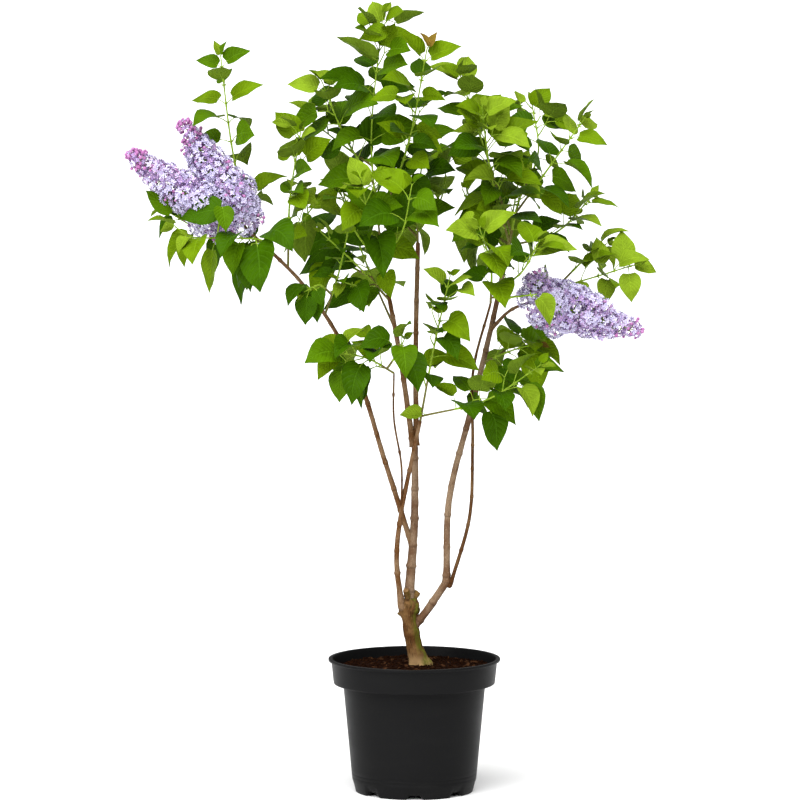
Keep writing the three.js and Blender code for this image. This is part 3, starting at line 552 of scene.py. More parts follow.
class Path:
    """A smooth line from a root to its tip, kept as evenly spaced points."""

    DIVISIONS = 200

    def __init__(self, root: Array, reach: Sequence[float], bows: Sequence[Triple],
                 spacing: float) -> None:
        """Lays the line.

        Args:
            root: where it starts.
            reach: the straight way from its root to its tip.
            bows: how far evenly spaced way points lie beside that way.
            spacing: about how far apart the kept points are.
        """
        parts = len(bows) + 1
        straight = np.arange(parts + 1)[:, None] / parts * np.array(reach, float)
        way = root + straight + np.array([(0, 0, 0), *bows, (0, 0, 0)])
        self.way = np.array([2 * way[0] - way[1], *way, 2 * way[-1] - way[-2]])
        fine = self._place(np.arange(self.DIVISIONS + 1) / self.DIVISIONS)
        self._lengths = np.cumsum([0.0, *np.linalg.norm(np.diff(fine, axis=0), axis=1)])
        self.length = float(self._lengths[-1])
        self.steps = max(3, math.floor(self.length / spacing + 0.5))
        self.points = self.evenly(self.steps)

    def _place(self, share: Array) -> Array:
        """Places on the curve through the way points.

        Args:
            share: shares of its way points.

        Returns:
            One row for each share.
        """
        way, parts = self.way, len(self.way) - 3
        k = np.minimum((share * parts).astype(int), parts - 1)
        a, b = way[k + 1], way[k + 2]
        return bend(a, b, (b - way[k]) / 2, (way[k + 3] - a) / 2, (share * parts - k)[:, None])

    def evenly(self, steps: int) -> Array:
        """Points at even steps of its length.

        Args:
            steps: how many steps.

        Returns:
            One row for each point, one more than the steps.
        """
        target = np.arange(steps + 1) / steps * self.length
        i = np.searchsorted(self._lengths, target, side="right") - 1
        i = np.clip(i, 0, self.DIVISIONS - 1)
        part = (target - self._lengths[i]) / (self._lengths[i + 1] - self._lengths[i])
        return self._place(np.minimum(1, (i + part) / self.DIVISIONS))

    def at(self, share: float) -> Array:
        """The point at a share of the line.

        Args:
            share: from 0 at its root to 1 at its tip.

        Returns:
            The point.
        """
        place = min(max(share, 0), 1) * self.steps
        k = min(int(place), self.steps - 1)
        return self.points[k] + (self.points[k + 1] - self.points[k]) * (place - k)

    def heading(self, share: float) -> Array:
        """The way the line runs at a share of it."""
        k = min(int(min(max(share, 0), 1) * self.steps), self.steps - 1)
        return unit(self.points[k + 1] - self.points[k])


def distances(points: Array, starts: Array, ends: Array) -> tuple[Array, Array]:
    """How far points are from straight pieces.

    Args:
        points: one row for each point.
        starts: one row for each piece.
        ends: one row for each piece.

    Returns:
        The distances and the shares along the pieces: a row for each point.
    """
    along = ends - starts
    away = points[:, None, :] - starts[None]
    share = np.clip((away * along).sum(2) / (along ** 2).sum(1), 0, 1)
    return np.linalg.norm(away - share[..., None] * along, axis=2), share


def pierced(edges: Array, faces: Array) -> bool:
    """Whether any straight edge passes through any triangle.

    Args:
        edges: a pair of points for each edge.
        faces: three points for each triangle.

    Returns:
        True where one does.
    """
    if not len(edges) or not len(faces):
        return False
    start = edges[:, 0][:, None]
    ray = (edges[:, 1] - edges[:, 0])[:, None]
    one, two = faces[:, 1] - faces[:, 0], faces[:, 2] - faces[:, 0]
    normal = np.cross(one, two)[None]
    slope = (ray * normal).sum(2)
    slope = np.where(np.abs(slope) < ALONGSIDE, np.nan, slope)
    off = faces[:, 0][None] - start
    t = (off * normal).sum(2) / slope
    turned = np.cross(np.broadcast_to(ray, off.shape), off)
    u = -(two[None] * turned).sum(2) / slope
    v = (one[None] * turned).sum(2) / slope
    with np.errstate(invalid="ignore"):
        return bool(((t >= 0) & (t <= 1) & (u >= 0) & (v >= 0) & (u + v <= 1)).any())


@dataclass
class Leaf:
    """A leaf where it stands: its stalk's root and end, its sections and its tip."""

    root: Array
    neck: Array
    broad: Array
    slim: Array
    tip: Array
    sides: tuple[Array, Array]
    ups: tuple[Array, Array]
    size: float
    young: float = 0.0
    fine: bool = False
    points: Array = field(default_factory=lambda: np.zeros((0, 3)))
    edges: Array = field(default_factory=lambda: np.zeros((0, 2, 3)))
    faces: Array = field(default_factory=lambda: np.zeros((0, 3, 3)))

    @classmethod
    def stand(cls, root: Array, heading: Array, rise: float, droop: float,
              roll: float, size: float, stalk: float) -> "Leaf":
        """Stands a leaf at a node, with the points and faces that its tests need.

        Args:
            root: the node.
            heading: the level way it faces.
            rise: its stalk's rise above level.
            droop: how far it arches down from there.
            roll: its turn about its own length.
            size: its blade's length.
            stalk: its stalk's length.

        Returns:
            The leaf, grown and not fine.
        """
        floor = math.radians(LEAF.steepest)

        def toward(angle: float) -> Array:
            """The way at an angle above the level heading."""
            return heading * math.cos(angle) + UP * math.sin(angle)

        rises = [max(rise - droop * share, floor) for share in LEAF.arch]
        near, far = LEAF.along
        neck = root + toward(rise) * stalk
        broad = neck + toward(rises[0]) * size * near
        slim = broad + toward(rises[1]) * size * (far - near)
        tip = slim + toward(rises[2]) * size * (1 - far)
        level = np.array([-heading[1], heading[0], 0.0])
        sides, ups = [], []
        for angle in rises[:2]:
            over = np.cross(toward(angle), level)
            sides.append(level * math.cos(roll) + over * math.sin(roll))
            ups.append(over * math.cos(roll) - level * math.sin(roll))
        leaf = cls(root, neck, broad, slim, tip, tuple(sides), tuple(ups), size)
        wide, narrow = (side * width * size for side, width in zip(sides, LEAF.half_width))
        points = [neck, tip]
        for across in (-1, -0.5, 0, 0.5, 1):
            a, b = broad + wide * across, slim + narrow * across
            points += [a, b, (a + b) / 2]
            if across in (-1, 0, 1):
                points += [(b + tip) / 2, (a + neck) / 2]
        leaf.points = np.array(points)
        l0, l1, r0, r1 = broad + wide, slim + narrow, broad - wide, slim - narrow
        leaf.edges = np.array([
            (root, neck), (neck, l0), (l0, l1), (l1, tip), (neck, r0), (r0, r1), (r1, tip),
        ])
        leaf.faces = np.array([(neck, l0, r0), (l0, l1, r1), (l0, r1, r0), (l1, tip, r1)])
        return leaf


@dataclass
class Limb:
    """A limb as it is grown: its line and its radius along it."""

    path: Path
    radius: Profile


@dataclass
class Shoot:
    """A shoot as it is grown, with what it bears."""

    row: ShootRow
    path: Path
    foot: float
    nodes: list[float] = field(default_factory=list)


@dataclass
class Mass:
    """A leafy mass as it is grown."""

    row: MassRow
    shoots: list[Shoot]
    leaves: list[Leaf] = field(default_factory=list)
    twigs: list[Array] = field(default_factory=list)


def taper(foot: float, tip: float) -> Profile:
    """A radius that runs evenly from foot to tip."""
    return lambda share: foot + (tip - foot) * share


def axes_about(along: Array) -> tuple[Array, Array]:
    """Two axes across a way, square to it and to each other."""
    across = unit(np.cross(along, np.eye(3)[0 if abs(along[1]) > STEEP else 1]))
    return across, np.cross(along, across)


class Growth:
    """The whole plant, grown limb by limb and mass by mass."""

    def __init__(self) -> None:
        """Lays every limb, shoot and cone."""
        self.limbs = self._lay_limbs()
        self.masses = [self._lay_mass(row) for row in MASS_ROWS]
        self.cones = [
            (axis, Path(self.limbs[row.on].path.at(1), axis.reach, [axis.bow], TRUSS.spacing))
            for row in TRUSS_ROWS for axis in row.axes
        ]
        ways = [[shoot.path.points for shoot in mass.shoots] for mass in self.masses]
        self._lines = [
            (np.concatenate([way[:-1] for way in own]), np.concatenate([way[1:] for way in own]))
            for own in ways
        ]
        self._edges = np.concatenate([np.stack(line, axis=1) for line in self._lines])
        self._grown: list[Leaf] = []

    def _lay_limbs(self) -> dict[str, Limb]:
        """Lays the trunk and every bough.

        Returns:
            The limbs by name.
        """
        trunk = Path(np.array(TRUNK.foot), TRUNK.reach, [TRUNK.bow], TRUNK.reach[2] / TRUNK.steps)
        limbs = {"trunk": Limb(trunk, TRUNK.radius)}
        for row in LIMB_ROWS:
            root = limbs[row.on].path.at(row.at) + np.array(row.seat, float)
            path = Path(root, row.reach, row.bows, LIMB_SPACING)
            limbs[row.name] = Limb(path, taper(*row.radius))
        return limbs

    def _lay_mass(self, row: MassRow) -> Mass:
        """Lays the shoots of a mass.

        Args:
            row: its plan.

        Returns:
            The mass, with no leaf yet.
        """
        shoots: list[Shoot] = []
        for shoot in row.shoots:
            carrier = shoots[0].path if shoots else self.limbs[row.on].path
            path = Path(carrier.at(shoot.at), shoot.reach, [shoot.bow], SHOOT_SPACING)
            foot = WOODY_RADIUS if row.woody and not shoots else SHOOT_RADIUS
            shoots.append(Shoot(shoot, path, foot))
        return Mass(row, shoots)

    def fits(self, leaf: Leaf, own: int) -> bool:
        """Whether a leaf is clear of all else and in the space of its mass.

        Args:
            leaf: the leaf.
            own: the number of its mass.

        Returns:
            True where it fits.
        """
        if not self._clear_of_leaves(leaf) or pierced(self._edges, leaf.faces):
            return False
        if self._on_limb(leaf.points):
            return False
        for axis, path in self.cones:
            if self._gap(leaf.points, path, partial(TRUSS.room, axis)) < RULE.truss_clear:
                return False
        home = distances(leaf.points, *self._lines[own])[0].min(1) + RULE.margin
        return all(
            (distances(leaf.points, *line)[0].min(1) >= home).all()
            for k, line in enumerate(self._lines) if k != own
        )

    def _on_limb(self, points: Array) -> bool:
        """Whether points come too near a limb."""
        gaps = (self._gap(points, limb.path, limb.radius) for limb in self.limbs.values())
        return any(gap < RULE.limb_clear for gap in gaps)

    @staticmethod
    def _gap(points: Array, path: Path, radius: Profile) -> float:
        """The least gap from points to the surface round a path.

        Args:
            points: one row for each.
            path: the path.
            radius: its radius at shares along it.

        Returns:
            The gap, below 0 inside.
        """
        away, share = distances(points, path.points[:-1], path.points[1:])
        place = (np.arange(path.steps)[None] + share) / path.steps
        return float((away - radius(place)).min())

    def _clear_of_leaves(self, leaf: Leaf) -> bool:
        """Whether a leaf keeps off every leaf grown so far.

        Args:
            leaf: the leaf.

        Returns:
            True where it does.
        """
        near = [
            g for g in self._grown
            if np.linalg.norm(g.neck - leaf.neck) <= 2 * (g.size + leaf.size)
        ]
        if not near:
            return True
        clear = RULE.leaf_clear * (FINE.closer if leaf.fine else 1)
        others = np.concatenate([g.points for g in near])
        gaps = ((leaf.points[1:, None] - others[None]) ** 2).sum(2)
        if gaps.min() < clear ** 2:
            return False
        if pierced(leaf.edges, np.concatenate([g.faces for g in near])):
            return False
        return not pierced(np.concatenate([g.edges for g in near]), leaf.faces)

    def try_leaf(self, draws: Draws, node: Array, along: Array, turn: float,
                 leaf_size: float, droop_size: float, young: float, own: int,
                 fine: bool = False, keep: Callable[[Leaf], bool] | None = None) -> Leaf | None:
        """Grows one leaf: it turns or shortens until it fits, or it is left out.

        Args:
            draws: the row of draws it takes its own from.
            node: the node that bears it.
            along: the way its shoot runs there.
            turn: its place round the shoot.
            leaf_size: the shoot's leaf length.
            droop_size: the shoot's droop in degrees.
            young: 0 for a grown leaf to 1 for the youngest.
            own: the number of its mass.
            fine: whether it stands on a finer twig.
            keep: a further test that it has to pass.

        Returns:
            The leaf, or None where it is left out.
        """
        size = leaf_size * (1 - RULE.young_shrink * young) * draws.span(*RULE.sizes)
        tilt = RULE.spread + RULE.young_spread * young
        spread = math.radians(tilt + draws.span(-RULE.sway, RULE.sway))
        arch = droop_size * (1 - RULE.young_droop * young)
        droop = math.radians(arch * draws.span(*RULE.droops))
        sway = draws.span(-RULE.roll, RULE.roll)
        stalk = size * LEAF.stalk * (1 - RULE.young_stalk * young) * draws.span(*RULE.stalks)
        across, over = axes_about(along)
        outward = np.array([node[0] - RULE.middle[0], node[1] - RULE.middle[1], 0.0])
        outward /= max(RULE.inside, float(np.linalg.norm(outward)))
        for extra, shrink in RULE.tries:
            radial = across * math.cos(turn + extra) + over * math.sin(turn + extra)
            toward = along * math.cos(spread) + radial * math.sin(spread)
            rise = math.asin(min(max(toward[2], -1), 1))
            heading = toward * (1, 1, 0)
            if np.linalg.norm(heading) < UPRIGHT:
                heading = radial * (1, 1, 0)
            heading = unit(heading)
            lean = heading[0] * outward[1] - heading[1] * outward[0]
            roll = sway - RULE.outward * lean
            leaf = Leaf.stand(node, heading, rise, droop, roll, size * shrink, stalk * shrink)
            leaf.young, leaf.fine = young, fine
            if (keep is None or keep(leaf)) and self.fits(leaf, own):
                self._grown.append(leaf)
                return leaf
        return None

    @staticmethod
    def _draws(mass: Mass, index: int, extra: int = 0) -> Draws:
        """The draws of one shoot of a mass, or of its finer twigs by an extra seed."""
        large, small, first = RULE.seeds
        return Draws(mass.row.seed * large + index * small + (extra or first))

    def grow(self) -> None:
        """Grows the leaves of every shoot, in opposite pairs."""
        for own, mass in enumerate(self.masses):
            for index, shoot in enumerate(mass.shoots):
                draws = self._draws(mass, index)
                start = draws.span(0, math.pi)
                row = shoot.row
                for k in range(row.pairs):
                    step = ((k + RULE.first_node) / row.pairs) ** RULE.crowding
                    share = row.first + (1 - row.first) * step
                    shoot.nodes.append(share)
                    node, along = shoot.path.at(share), shoot.path.heading(share)
                    turn = start + k * QUARTER + draws.span(-RULE.turn, RULE.turn)
                    for half in (0, math.pi):
                        leaf = self.try_leaf(draws, node, along, turn + half, row.leaf,
                                             row.droop, RULE.young(share), own)
                        mass.leaves += [leaf] if leaf else []

    def grow_fine(self) -> None:
        """Carries every mass on to finer twigs, each with a few smaller leaves."""
        for own, mass in enumerate(self.masses):
            low, high = (np.array(corner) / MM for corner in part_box(mass.row.name))
            low, high = low - FINE.beyond, high + (FINE.beyond, FINE.beyond, 0)

            def keep(leaf: Leaf, low: Array = low, high: Array = high) -> bool:
                """Whether a leaf keeps within its mass's reach and off the blossom's face."""
                inside = (leaf.points >= low).all() and (leaf.points <= high).all()
                return bool(inside) and not self._before_blossom(leaf.points)

            for index, shoot in enumerate(mass.shoots):
                draws = self._draws(mass, index, FINE.seed)
                self._tuft(draws, shoot, mass, own, keep)
                stops = [shoot.row.first * FINE.bare, *shoot.nodes, 1.0]
                for k in range(len(stops) - 1):
                    around = draws.span(0, math.pi)
                    for half in (0, math.pi):
                        part = draws.span(*FINE.between)
                        share = stops[k] + (stops[k + 1] - stops[k]) * part
                        if draws.next() < mass.row.twigs:
                            self._spur(draws, shoot, share, around + half, mass, own, keep)

    def finish(self) -> None:
        """Leaves off the leaves that hide the blossom, and sets the accents."""
        for mass in self.masses:
            gone = PRUNED.get(mass.row.name, ())
            mass.leaves = [leaf for k, leaf in enumerate(mass.leaves) if k not in gone]
            for row in (row for row in ACCENT_ROWS if row.mass == mass.row.name):
                pose = (row.facing, row.rise, row.roll)
                facing, rise, roll = (math.radians(turn) for turn in pose)
                node = mass.shoots[row.shoot].path.at(row.at)
                heading = np.array([math.cos(facing), math.sin(facing), 0.0])
                leaf = Leaf.stand(node + row.neck, heading, rise + ACCENT_LIFT, ACCENT_ARCH,
                                  roll, row.size, 0.0)
                leaf.root, leaf.young = node, row.young
                mass.leaves.append(leaf)
                self._grown.append(leaf)

    def _before_blossom(self, points: Array) -> bool:
        """Whether points stand in front of a truss's open face.

        Args:
            points: one row for each.

        Returns:
            True where any does.
        """
        for axis, path in self.cones:
            flat = path.points * (1, 0, 1)
            away, share = distances(points * (1, 0, 1), flat[:-1], flat[1:])
            near = away.argmin(1)
            rows = np.arange(len(points))
            place = (near + share[rows, near]) / path.steps
            depth = np.interp(place * path.steps, np.arange(path.steps + 1), path.points[:, 1])
            hidden = (away[rows, near] < TRUSS.radius(axis, place)) & (points[:, 1] < depth)
            if hidden.any():
                return True
        return False

    def _tuft(self, draws: Draws, shoot: Shoot, mass: Mass, own: int,
              keep: Callable[[Leaf], bool]) -> None:
        """Grows the youngest leaves round a shoot's tip.

        Args:
            draws: the row of draws they take theirs from.
            shoot: the shoot.
            mass: the mass that takes them.
            own: the number of the mass.
            keep: a further test that each has to pass.
        """
        node, along = shoot.path.at(1), shoot.path.heading(1)
        turn = draws.span(0, math.pi)
        for k, size in enumerate(FINE.tuft):
            angle = turn + k * (math.pi if k % 2 else QUARTER)
            length, droop = shoot.row.leaf * size, shoot.row.droop * FINE.tuft_droop
            leaf = self.try_leaf(draws, node, along, angle, length, droop, 1.0, own, True, keep)
            mass.leaves += [leaf] if leaf else []

    def _spur(self, draws: Draws, shoot: Shoot, share: float, turn: float, mass: Mass,
              own: int, keep: Callable[[Leaf], bool]) -> None:
        """Grows one finer twig with its leaves, or leaves it out where none fits.

        Args:
            draws: the row of draws it takes its own from.
            shoot: the shoot that bears it.
            share: how far along the shoot it springs.
            turn: its place round the shoot.
            mass: the mass that takes it.
            own: the number of the mass.
            keep: a further test that each leaf has to pass.
        """
        node, along = shoot.path.at(share), shoot.path.heading(share)
        across, over = axes_about(along)
        radial = across * math.cos(turn) + over * math.sin(turn)
        lean = math.radians(FINE.lean + draws.span(-FINE.sway, FINE.sway))
        toward = unit(along * math.cos(lean) + radial * math.sin(lean) + UP * FINE.rise)
        length = draws.span(*FINE.length)
        curve = (UP * FINE.curve[0] + along * FINE.curve[1]) * length
        shares = np.linspace(0, 1, FINE.steps + 1)[:, None]
        points = node + toward * length * shares + curve * shares ** 2
        if not self._twig_fits(points[1:], own):
            return
        young = min(1.0, RULE.young(share) + FINE.younger)
        borne = []
        around = draws.span(0, math.pi)
        for k, size in enumerate(FINE.sizes):
            heading = unit(points[-1] - points[-2])
            blade = shoot.row.leaf * size * draws.span(*FINE.spread)
            leaf = self.try_leaf(draws, points[-1], heading, around + k * math.pi, blade,
                                 shoot.row.droop, young, own, True, keep)
            if leaf:
                borne.append(leaf)
        if borne:
            mass.leaves.extend(borne)
            mass.twigs.append(points)
            edges = np.stack([points[:-1], points[1:]], axis=1)
            self._edges = np.concatenate([self._edges, edges])

    def _twig_fits(self, points: Array, own: int) -> bool:
        """Whether a finer twig keeps clear of limbs, leaves and the other masses.

        Args:
            points: its points, without its root.
            own: the number of its mass.

        Returns:
            True where it does.
        """
        if self._on_limb(points):
            return False
        home = distances(points, *self._lines[own])[0].min(1)
        for k, line in enumerate(self._lines):
            if k != own and (distances(points, *line)[0].min(1) < home).any():
                return False
        reach = np.linalg.norm(points[-1] - points[0])
        near = [
            g for g in self._grown if np.linalg.norm(g.neck - points[0]) <= 2 * g.size + reach
        ]
        if not near:
            return True
        edges = np.stack([points[:-1], points[1:]], axis=1)
        return not pierced(edges, np.concatenate([g.faces for g in near]))


# --- meshes


@dataclass
class Skin:
    """Points and faces gathered for one mesh, sharp where it turns more than crease degrees."""

    points: list[Array] = field(default_factory=list)
    faces: list[Array] = field(default_factory=list)
    uv: list[Array] = field(default_factory=list)
    kinds: list[Array] = field(default_factory=list)
    values: dict[str, list[Array]] = field(default_factory=dict)
    count: int = 0
    crease: float = 62

    def add(self, points: Array, faces: Array, uv: Array, kind: int | Array = 0,
            **values: Array) -> None:
        """Adds a patch of quads, in which a triangle has its last corner twice.

        Args:
            points: one row of millimetres for each point.
            faces: four point numbers for each face.
            uv: one pair for each corner of each face.
            kind: the material number, for all faces or for each.
            values: a number for each point under each name.
        """
        self.points.append(points * MM)
        self.faces.append(faces + self.count)
        self.uv.append(uv)
        self.kinds.append(np.broadcast_to(kind, len(faces)))
        for name, value in values.items():
            self.values.setdefault(name, []).append(np.broadcast_to(value, len(points)))
        self.count += len(points)

    def drum(self, rings: Array, foot: Sequence[float], head: Sequence[float],
             kind: int | Array = 0, uv: tuple[Array, Array] | None = None,
             turned: Array | None = None, **values: Array) -> None:
        """Adds a closed skin: rings of points joined in order, with a fan at each end.

        Args:
            rings: for each ring its points, counterclockwise as the rings go.
            foot: the point that closes the first ring.
            head: the point that closes the last ring.
            kind: the material number, for all faces or for each: between rings, foot, head.
            uv: the values of foot, rings and head, and of the sides' edges, or else metres.
            turned: the sides whose quads fold along their other diagonal.
            values: numbers for the points of the rings under each name.
        """
        rows, sides = rings.shape[:2]
        if uv is None:
            steps = np.linalg.norm(np.diff(rings[:, 0], axis=0), axis=1)
            girth = np.linalg.norm(rings - np.roll(rings, 1, 1), axis=2).sum(1).mean()
            uv = (np.pad(np.cumsum([0, *steps]), 1, mode="edge") * MM,
                  np.linspace(0, girth * MM, sides + 1))
        u, v = uv
        this, last = np.arange(sides), (rows - 1) * sides
        after = np.roll(this, -1)
        low, high = np.full(sides, rows * sides), np.full(sides, rows * sides + 1)
        faces = [grid_faces(rows, sides), np.stack([after, this, low, low], 1),
                 np.stack([this + last, after + last, high, high], 1)]
        corners = [grid_uv(u[1:-1], v)]
        if turned is not None:
            which = np.tile(turned, rows - 1)
            for part in (faces[0], corners[0]):
                part[which] = np.roll(part[which], 1, axis=1)
        fans = ((v[1:], v[:-1], u[1], u[0]), (v[:-1], v[1:], u[-2], u[-1]))
        for start, end, ring, pole in fans:
            across = np.stack([start, end, (start + end) / 2, (start + end) / 2], 1)
            along = np.broadcast_to([ring, ring, pole, pole], across.shape)
            corners.append(np.stack([along, across], 2))
        spread = {
            name: np.append(np.broadcast_to(value, (rows, sides)), [0, 0])
            for name, value in values.items()
        }
        self.add(np.concatenate([rings.reshape(-1, 3), [foot, head]]), np.concatenate(faces),
                 np.concatenate(corners), kind, **spread)

    def mesh(self, name: str, *finishes: Material) -> Mesh:
        """Makes one smooth mesh of all the patches.

        Args:
            name: the mesh's name.
            *finishes: its materials, in the order of their numbers.

        Returns:
            The mesh.
        """
        quads = np.concatenate(self.faces)
        keep = np.ones(quads.shape, bool)
        keep[:, 3] = quads[:, 3] != quads[:, 2]
        sizes = keep.sum(1)
        mesh = bpy.data.meshes.new(name)
        for finish in finishes:
            mesh.materials.append(finish)
        mesh.vertices.add(self.count)
        mesh.vertices.foreach_set("co", np.concatenate(self.points).astype(np.float32).ravel())
        mesh.loops.add(int(sizes.sum()))
        mesh.loops.foreach_set("vertex_index", quads[keep].astype(np.int32))
        mesh.polygons.add(len(quads))
        mesh.polygons.foreach_set("loop_start", (np.cumsum(sizes) - sizes).astype(np.int32))
        kinds = np.concatenate(self.kinds).astype(np.int32)
        mesh.polygons.foreach_set("material_index", kinds)
        mesh.update(calc_edges=True)
        layer = mesh.uv_layers.new(name="Surface")
        layer.uv.foreach_set("vector", np.concatenate(self.uv)[keep].astype(np.float32).ravel())
        carry(mesh, **{key: np.concatenate(parts) for key, parts in self.values.items()})
        mesh.polygons.foreach_set("use_smooth", np.ones(len(quads), bool))
        mesh.validate(clean_customdata=False)
        mesh.set_sharp_from_angle(angle=math.radians(self.crease))
        return mesh


def carry(mesh: Mesh, **values: Array) -> None:
    """Gives the points of a mesh values under names.

    Args:
        mesh: the mesh.
        **values: numbers, whole numbers or directions, one for each point.
    """
    for name, value in values.items():
        wide, whole = value.ndim == 2, value.dtype.kind == "i"
        kind = "FLOAT_VECTOR" if wide else "INT" if whole else "FLOAT"
        made = mesh.attributes.new(name, kind, "POINT")
        numbers = value.astype(np.int32 if whole else np.float32).ravel()
        made.data.foreach_set("vector" if wide else "value", numbers)


def plain_mesh(name: str, points: Array, edges: Sequence[tuple[int, int]] = (),
               **values: Array) -> Mesh:
    """A mesh of points, with edges between them.

    Args:
        name: the mesh's name.
        points: one row of millimetres for each.
        edges: pairs of point numbers.
        **values: what each point carries.

    Returns:
        The mesh.
    """
    mesh = bpy.data.meshes.new(name)
    mesh.from_pydata((points * MM).tolist(), list(edges), [])
    carry(mesh, **values)
    return mesh


@dataclass
class Lines:
    """Lines gathered for the tree that skins them, with radii and a share of green."""

    SIDES = 6

    rows: list[Array] = field(default_factory=list)
    edges: list[tuple[int, int]] = field(default_factory=list)
    count: int = 0

    def add(self, way: Array, radius: Array, green: Array | float = 1.0) -> None:
        """Adds a line.

        Args:
            way: its points.
            radius: its radius at each.
            green: how green it is at each.
        """
        each = (np.broadcast_to(value, len(way)) for value in (radius, green))
        self.rows.append(np.column_stack([way, *each]).astype(float))
        self.edges += [(self.count + k, self.count + k + 1) for k in range(len(way) - 1)]
        self.count += len(way)

    def skin(self, name: str, recipe: "Recipe") -> None:
        """Skins the lines and settles them as one piece of stalks.

        Args:
            name: the piece's name.
            recipe: the tree that skins them.
        """
        rows = np.concatenate(self.rows)
        mesh = plain_mesh(name, rows[:, :3], self.edges, radius=rows[:, 3] * MM, green=rows[:, 4])
        given = {"Sides": self.SIDES, "Bark": material(TWIG_BARK), "Green": material(GREEN_STALK)}
        settle(name, recipe.run(name, mesh, given), "stem_bark")


def grid_faces(rows: int, columns: int) -> Array:
    """Quads between rings of points.

    Args:
        rows: how many rings.
        columns: how many points in each.

    Returns:
        Four point numbers for each face.
    """
    first = np.arange((rows - 1) * columns)
    after = first + 1 - columns * (first % columns == columns - 1)
    return np.stack([first, after, after + columns, first + columns], 1)


def grid_uv(u: Array, v: Array) -> Array:
    """The UV of the quads between rings of points.

    Args:
        u: the value of each ring.
        v: the value of each side's edges, one more than the sides.

    Returns:
        Four pairs for each face.
    """
    r, c = (grid.ravel() for grid in np.mgrid[0:len(u) - 1, 0:len(v) - 1])
    corners = [(u[r], v[c]), (u[r], v[c + 1]), (u[r + 1], v[c + 1]), (u[r + 1], v[c])]
    return np.stack([np.stack(pair, 1) for pair in corners], 1)


def turns(sides: int) -> Array:
    """The angles of evenly spread points round a circle."""
    return np.arange(sides) * 2 * math.pi / sides


def lathe(radius: Array | float, height: Array | float, angle: Array) -> Array:
    """Rings of points round the upright axis."""
    x, y = radius * np.cos(angle), radius * np.sin(angle)
    return np.stack([x, y, height + 0 * x], 2)


class Relief:
    """Smooth seeded noise on a lattice that closes round a limb, once in its columns."""

    def __init__(self, seed: int, rows: int, columns: int) -> None:
        """Draws the lattice."""
        self.table = np.random.default_rng(seed).uniform(-1, 1, (rows, columns))

    def __call__(self, along: Array, around: Array) -> Array:
        """The relief at places.

        Args:
            along: places in rows.
            around: shares of once round.

        Returns:
            Heights from -1 to 1.
        """
        rows, columns = self.table.shape
        around = (around % 1) * columns
        i, j = np.floor(along).astype(int), np.floor(around).astype(int)
        a, b = along - i, around - j
        a, b = a * a * (3 - 2 * a), b * b * (3 - 2 * b)
        left, right = j % columns, (j + 1) % columns
        near, far = (
            self.table[row % rows, left] * (1 - b) + self.table[row % rows, right] * b
            for row in (i, i + 1)
        )
        return near * (1 - a) + far * a


def sweep_frames(points: Array) -> tuple[Array, Array, Array]:
    """The headings of a line and axes across them, carried without twist.

    Args:
        points: the line's points.

    Returns:
        The headings and the two axes at each point.
    """
    ahead = np.gradient(points, axis=0)
    ahead /= np.linalg.norm(ahead, axis=1)[:, None]
    side = np.array([1.0, 0.0, 0.0]) - ahead[0] * ahead[0][0]
    sides = []
    for heading in ahead:
        side = unit(side - heading * float(side @ heading))
        sides.append(side)
    sides = np.array(sides)
    return ahead, sides, np.cross(ahead, sides)


def rings_round(points: Array, reach: Array) -> tuple[Array, Array]:
    """Rings of points round a line.

    Args:
        points: the line's points.
        reach: how far out each point of each ring stands.

    Returns:
        The rings, and the ways in which their points stand from the line.
    """
    _, side, over = sweep_frames(points)
    angle = turns(reach.shape[1])[None, :, None]
    ways = side[:, None] * np.cos(angle) + over[:, None] * np.sin(angle)
    return points[:, None] + ways * reach[..., None], ways


def gathered(name: str, meshes: list[Mesh]) -> Collection:
    """Gathers meshes for a tree to pick from.

    Args:
        name: what they are.
        meshes: the meshes.

    Returns:
        A collection of one object for each, unlinked from the scene.
    """
    made = bpy.data.collections.new(f"{name}_shapes")
    for mesh in meshes:
        made.objects.link(bpy.data.objects.new(mesh.name, mesh))
    return made


def settle(name: str, mesh: Mesh, slot: str, *nodes: str) -> None:
    """Makes a finished piece of a mesh.

    Args:
        name: the piece's name.
        mesh: the mesh.
        slot: the record's slot for its material; not used.
        *nodes: the solids whose place it takes.
    """
    piece = bpy.data.objects.new(name, mesh)
    bpy.context.scene.collection.objects.link(piece)
    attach(piece, BODY)
    if nodes:
        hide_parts(*nodes)
    mesh.calc_loop_triangles()
    LOG.info("%s: %d triangles", name, len(mesh.loop_triangles))


# --- node trees


class NodePlan:
    """A node tree that is built node by node."""

    family = "ShaderNode"

    def __init__(self, tree: bpy.types.NodeTree) -> None:
        """Takes up the tree."""
        self.tree = tree

    def link(self, source: Socket, target: Socket) -> None:
        """Links two sockets."""
        self.tree.links.new(source, target)

    def node(self, kind: str, links: dict | None = None, **choices: object) -> bpy.types.Node:
        """Adds a node.

        Args:
            kind: its type, without the family's name.
            links: what goes into its inputs, by name or number: a socket or a value.
            choices: its own settings.

        Returns:
            The node.
        """
        made = self.tree.nodes.new(kind if kind.startswith("Function") else self.family + kind)
        for key, choice in choices.items():
            setattr(made, key, choice)
        for key, what in (links or {}).items():
            if isinstance(what, Socket):
                self.link(what, made.inputs[key])
            else:
                made.inputs[key].default_value = what
        return made


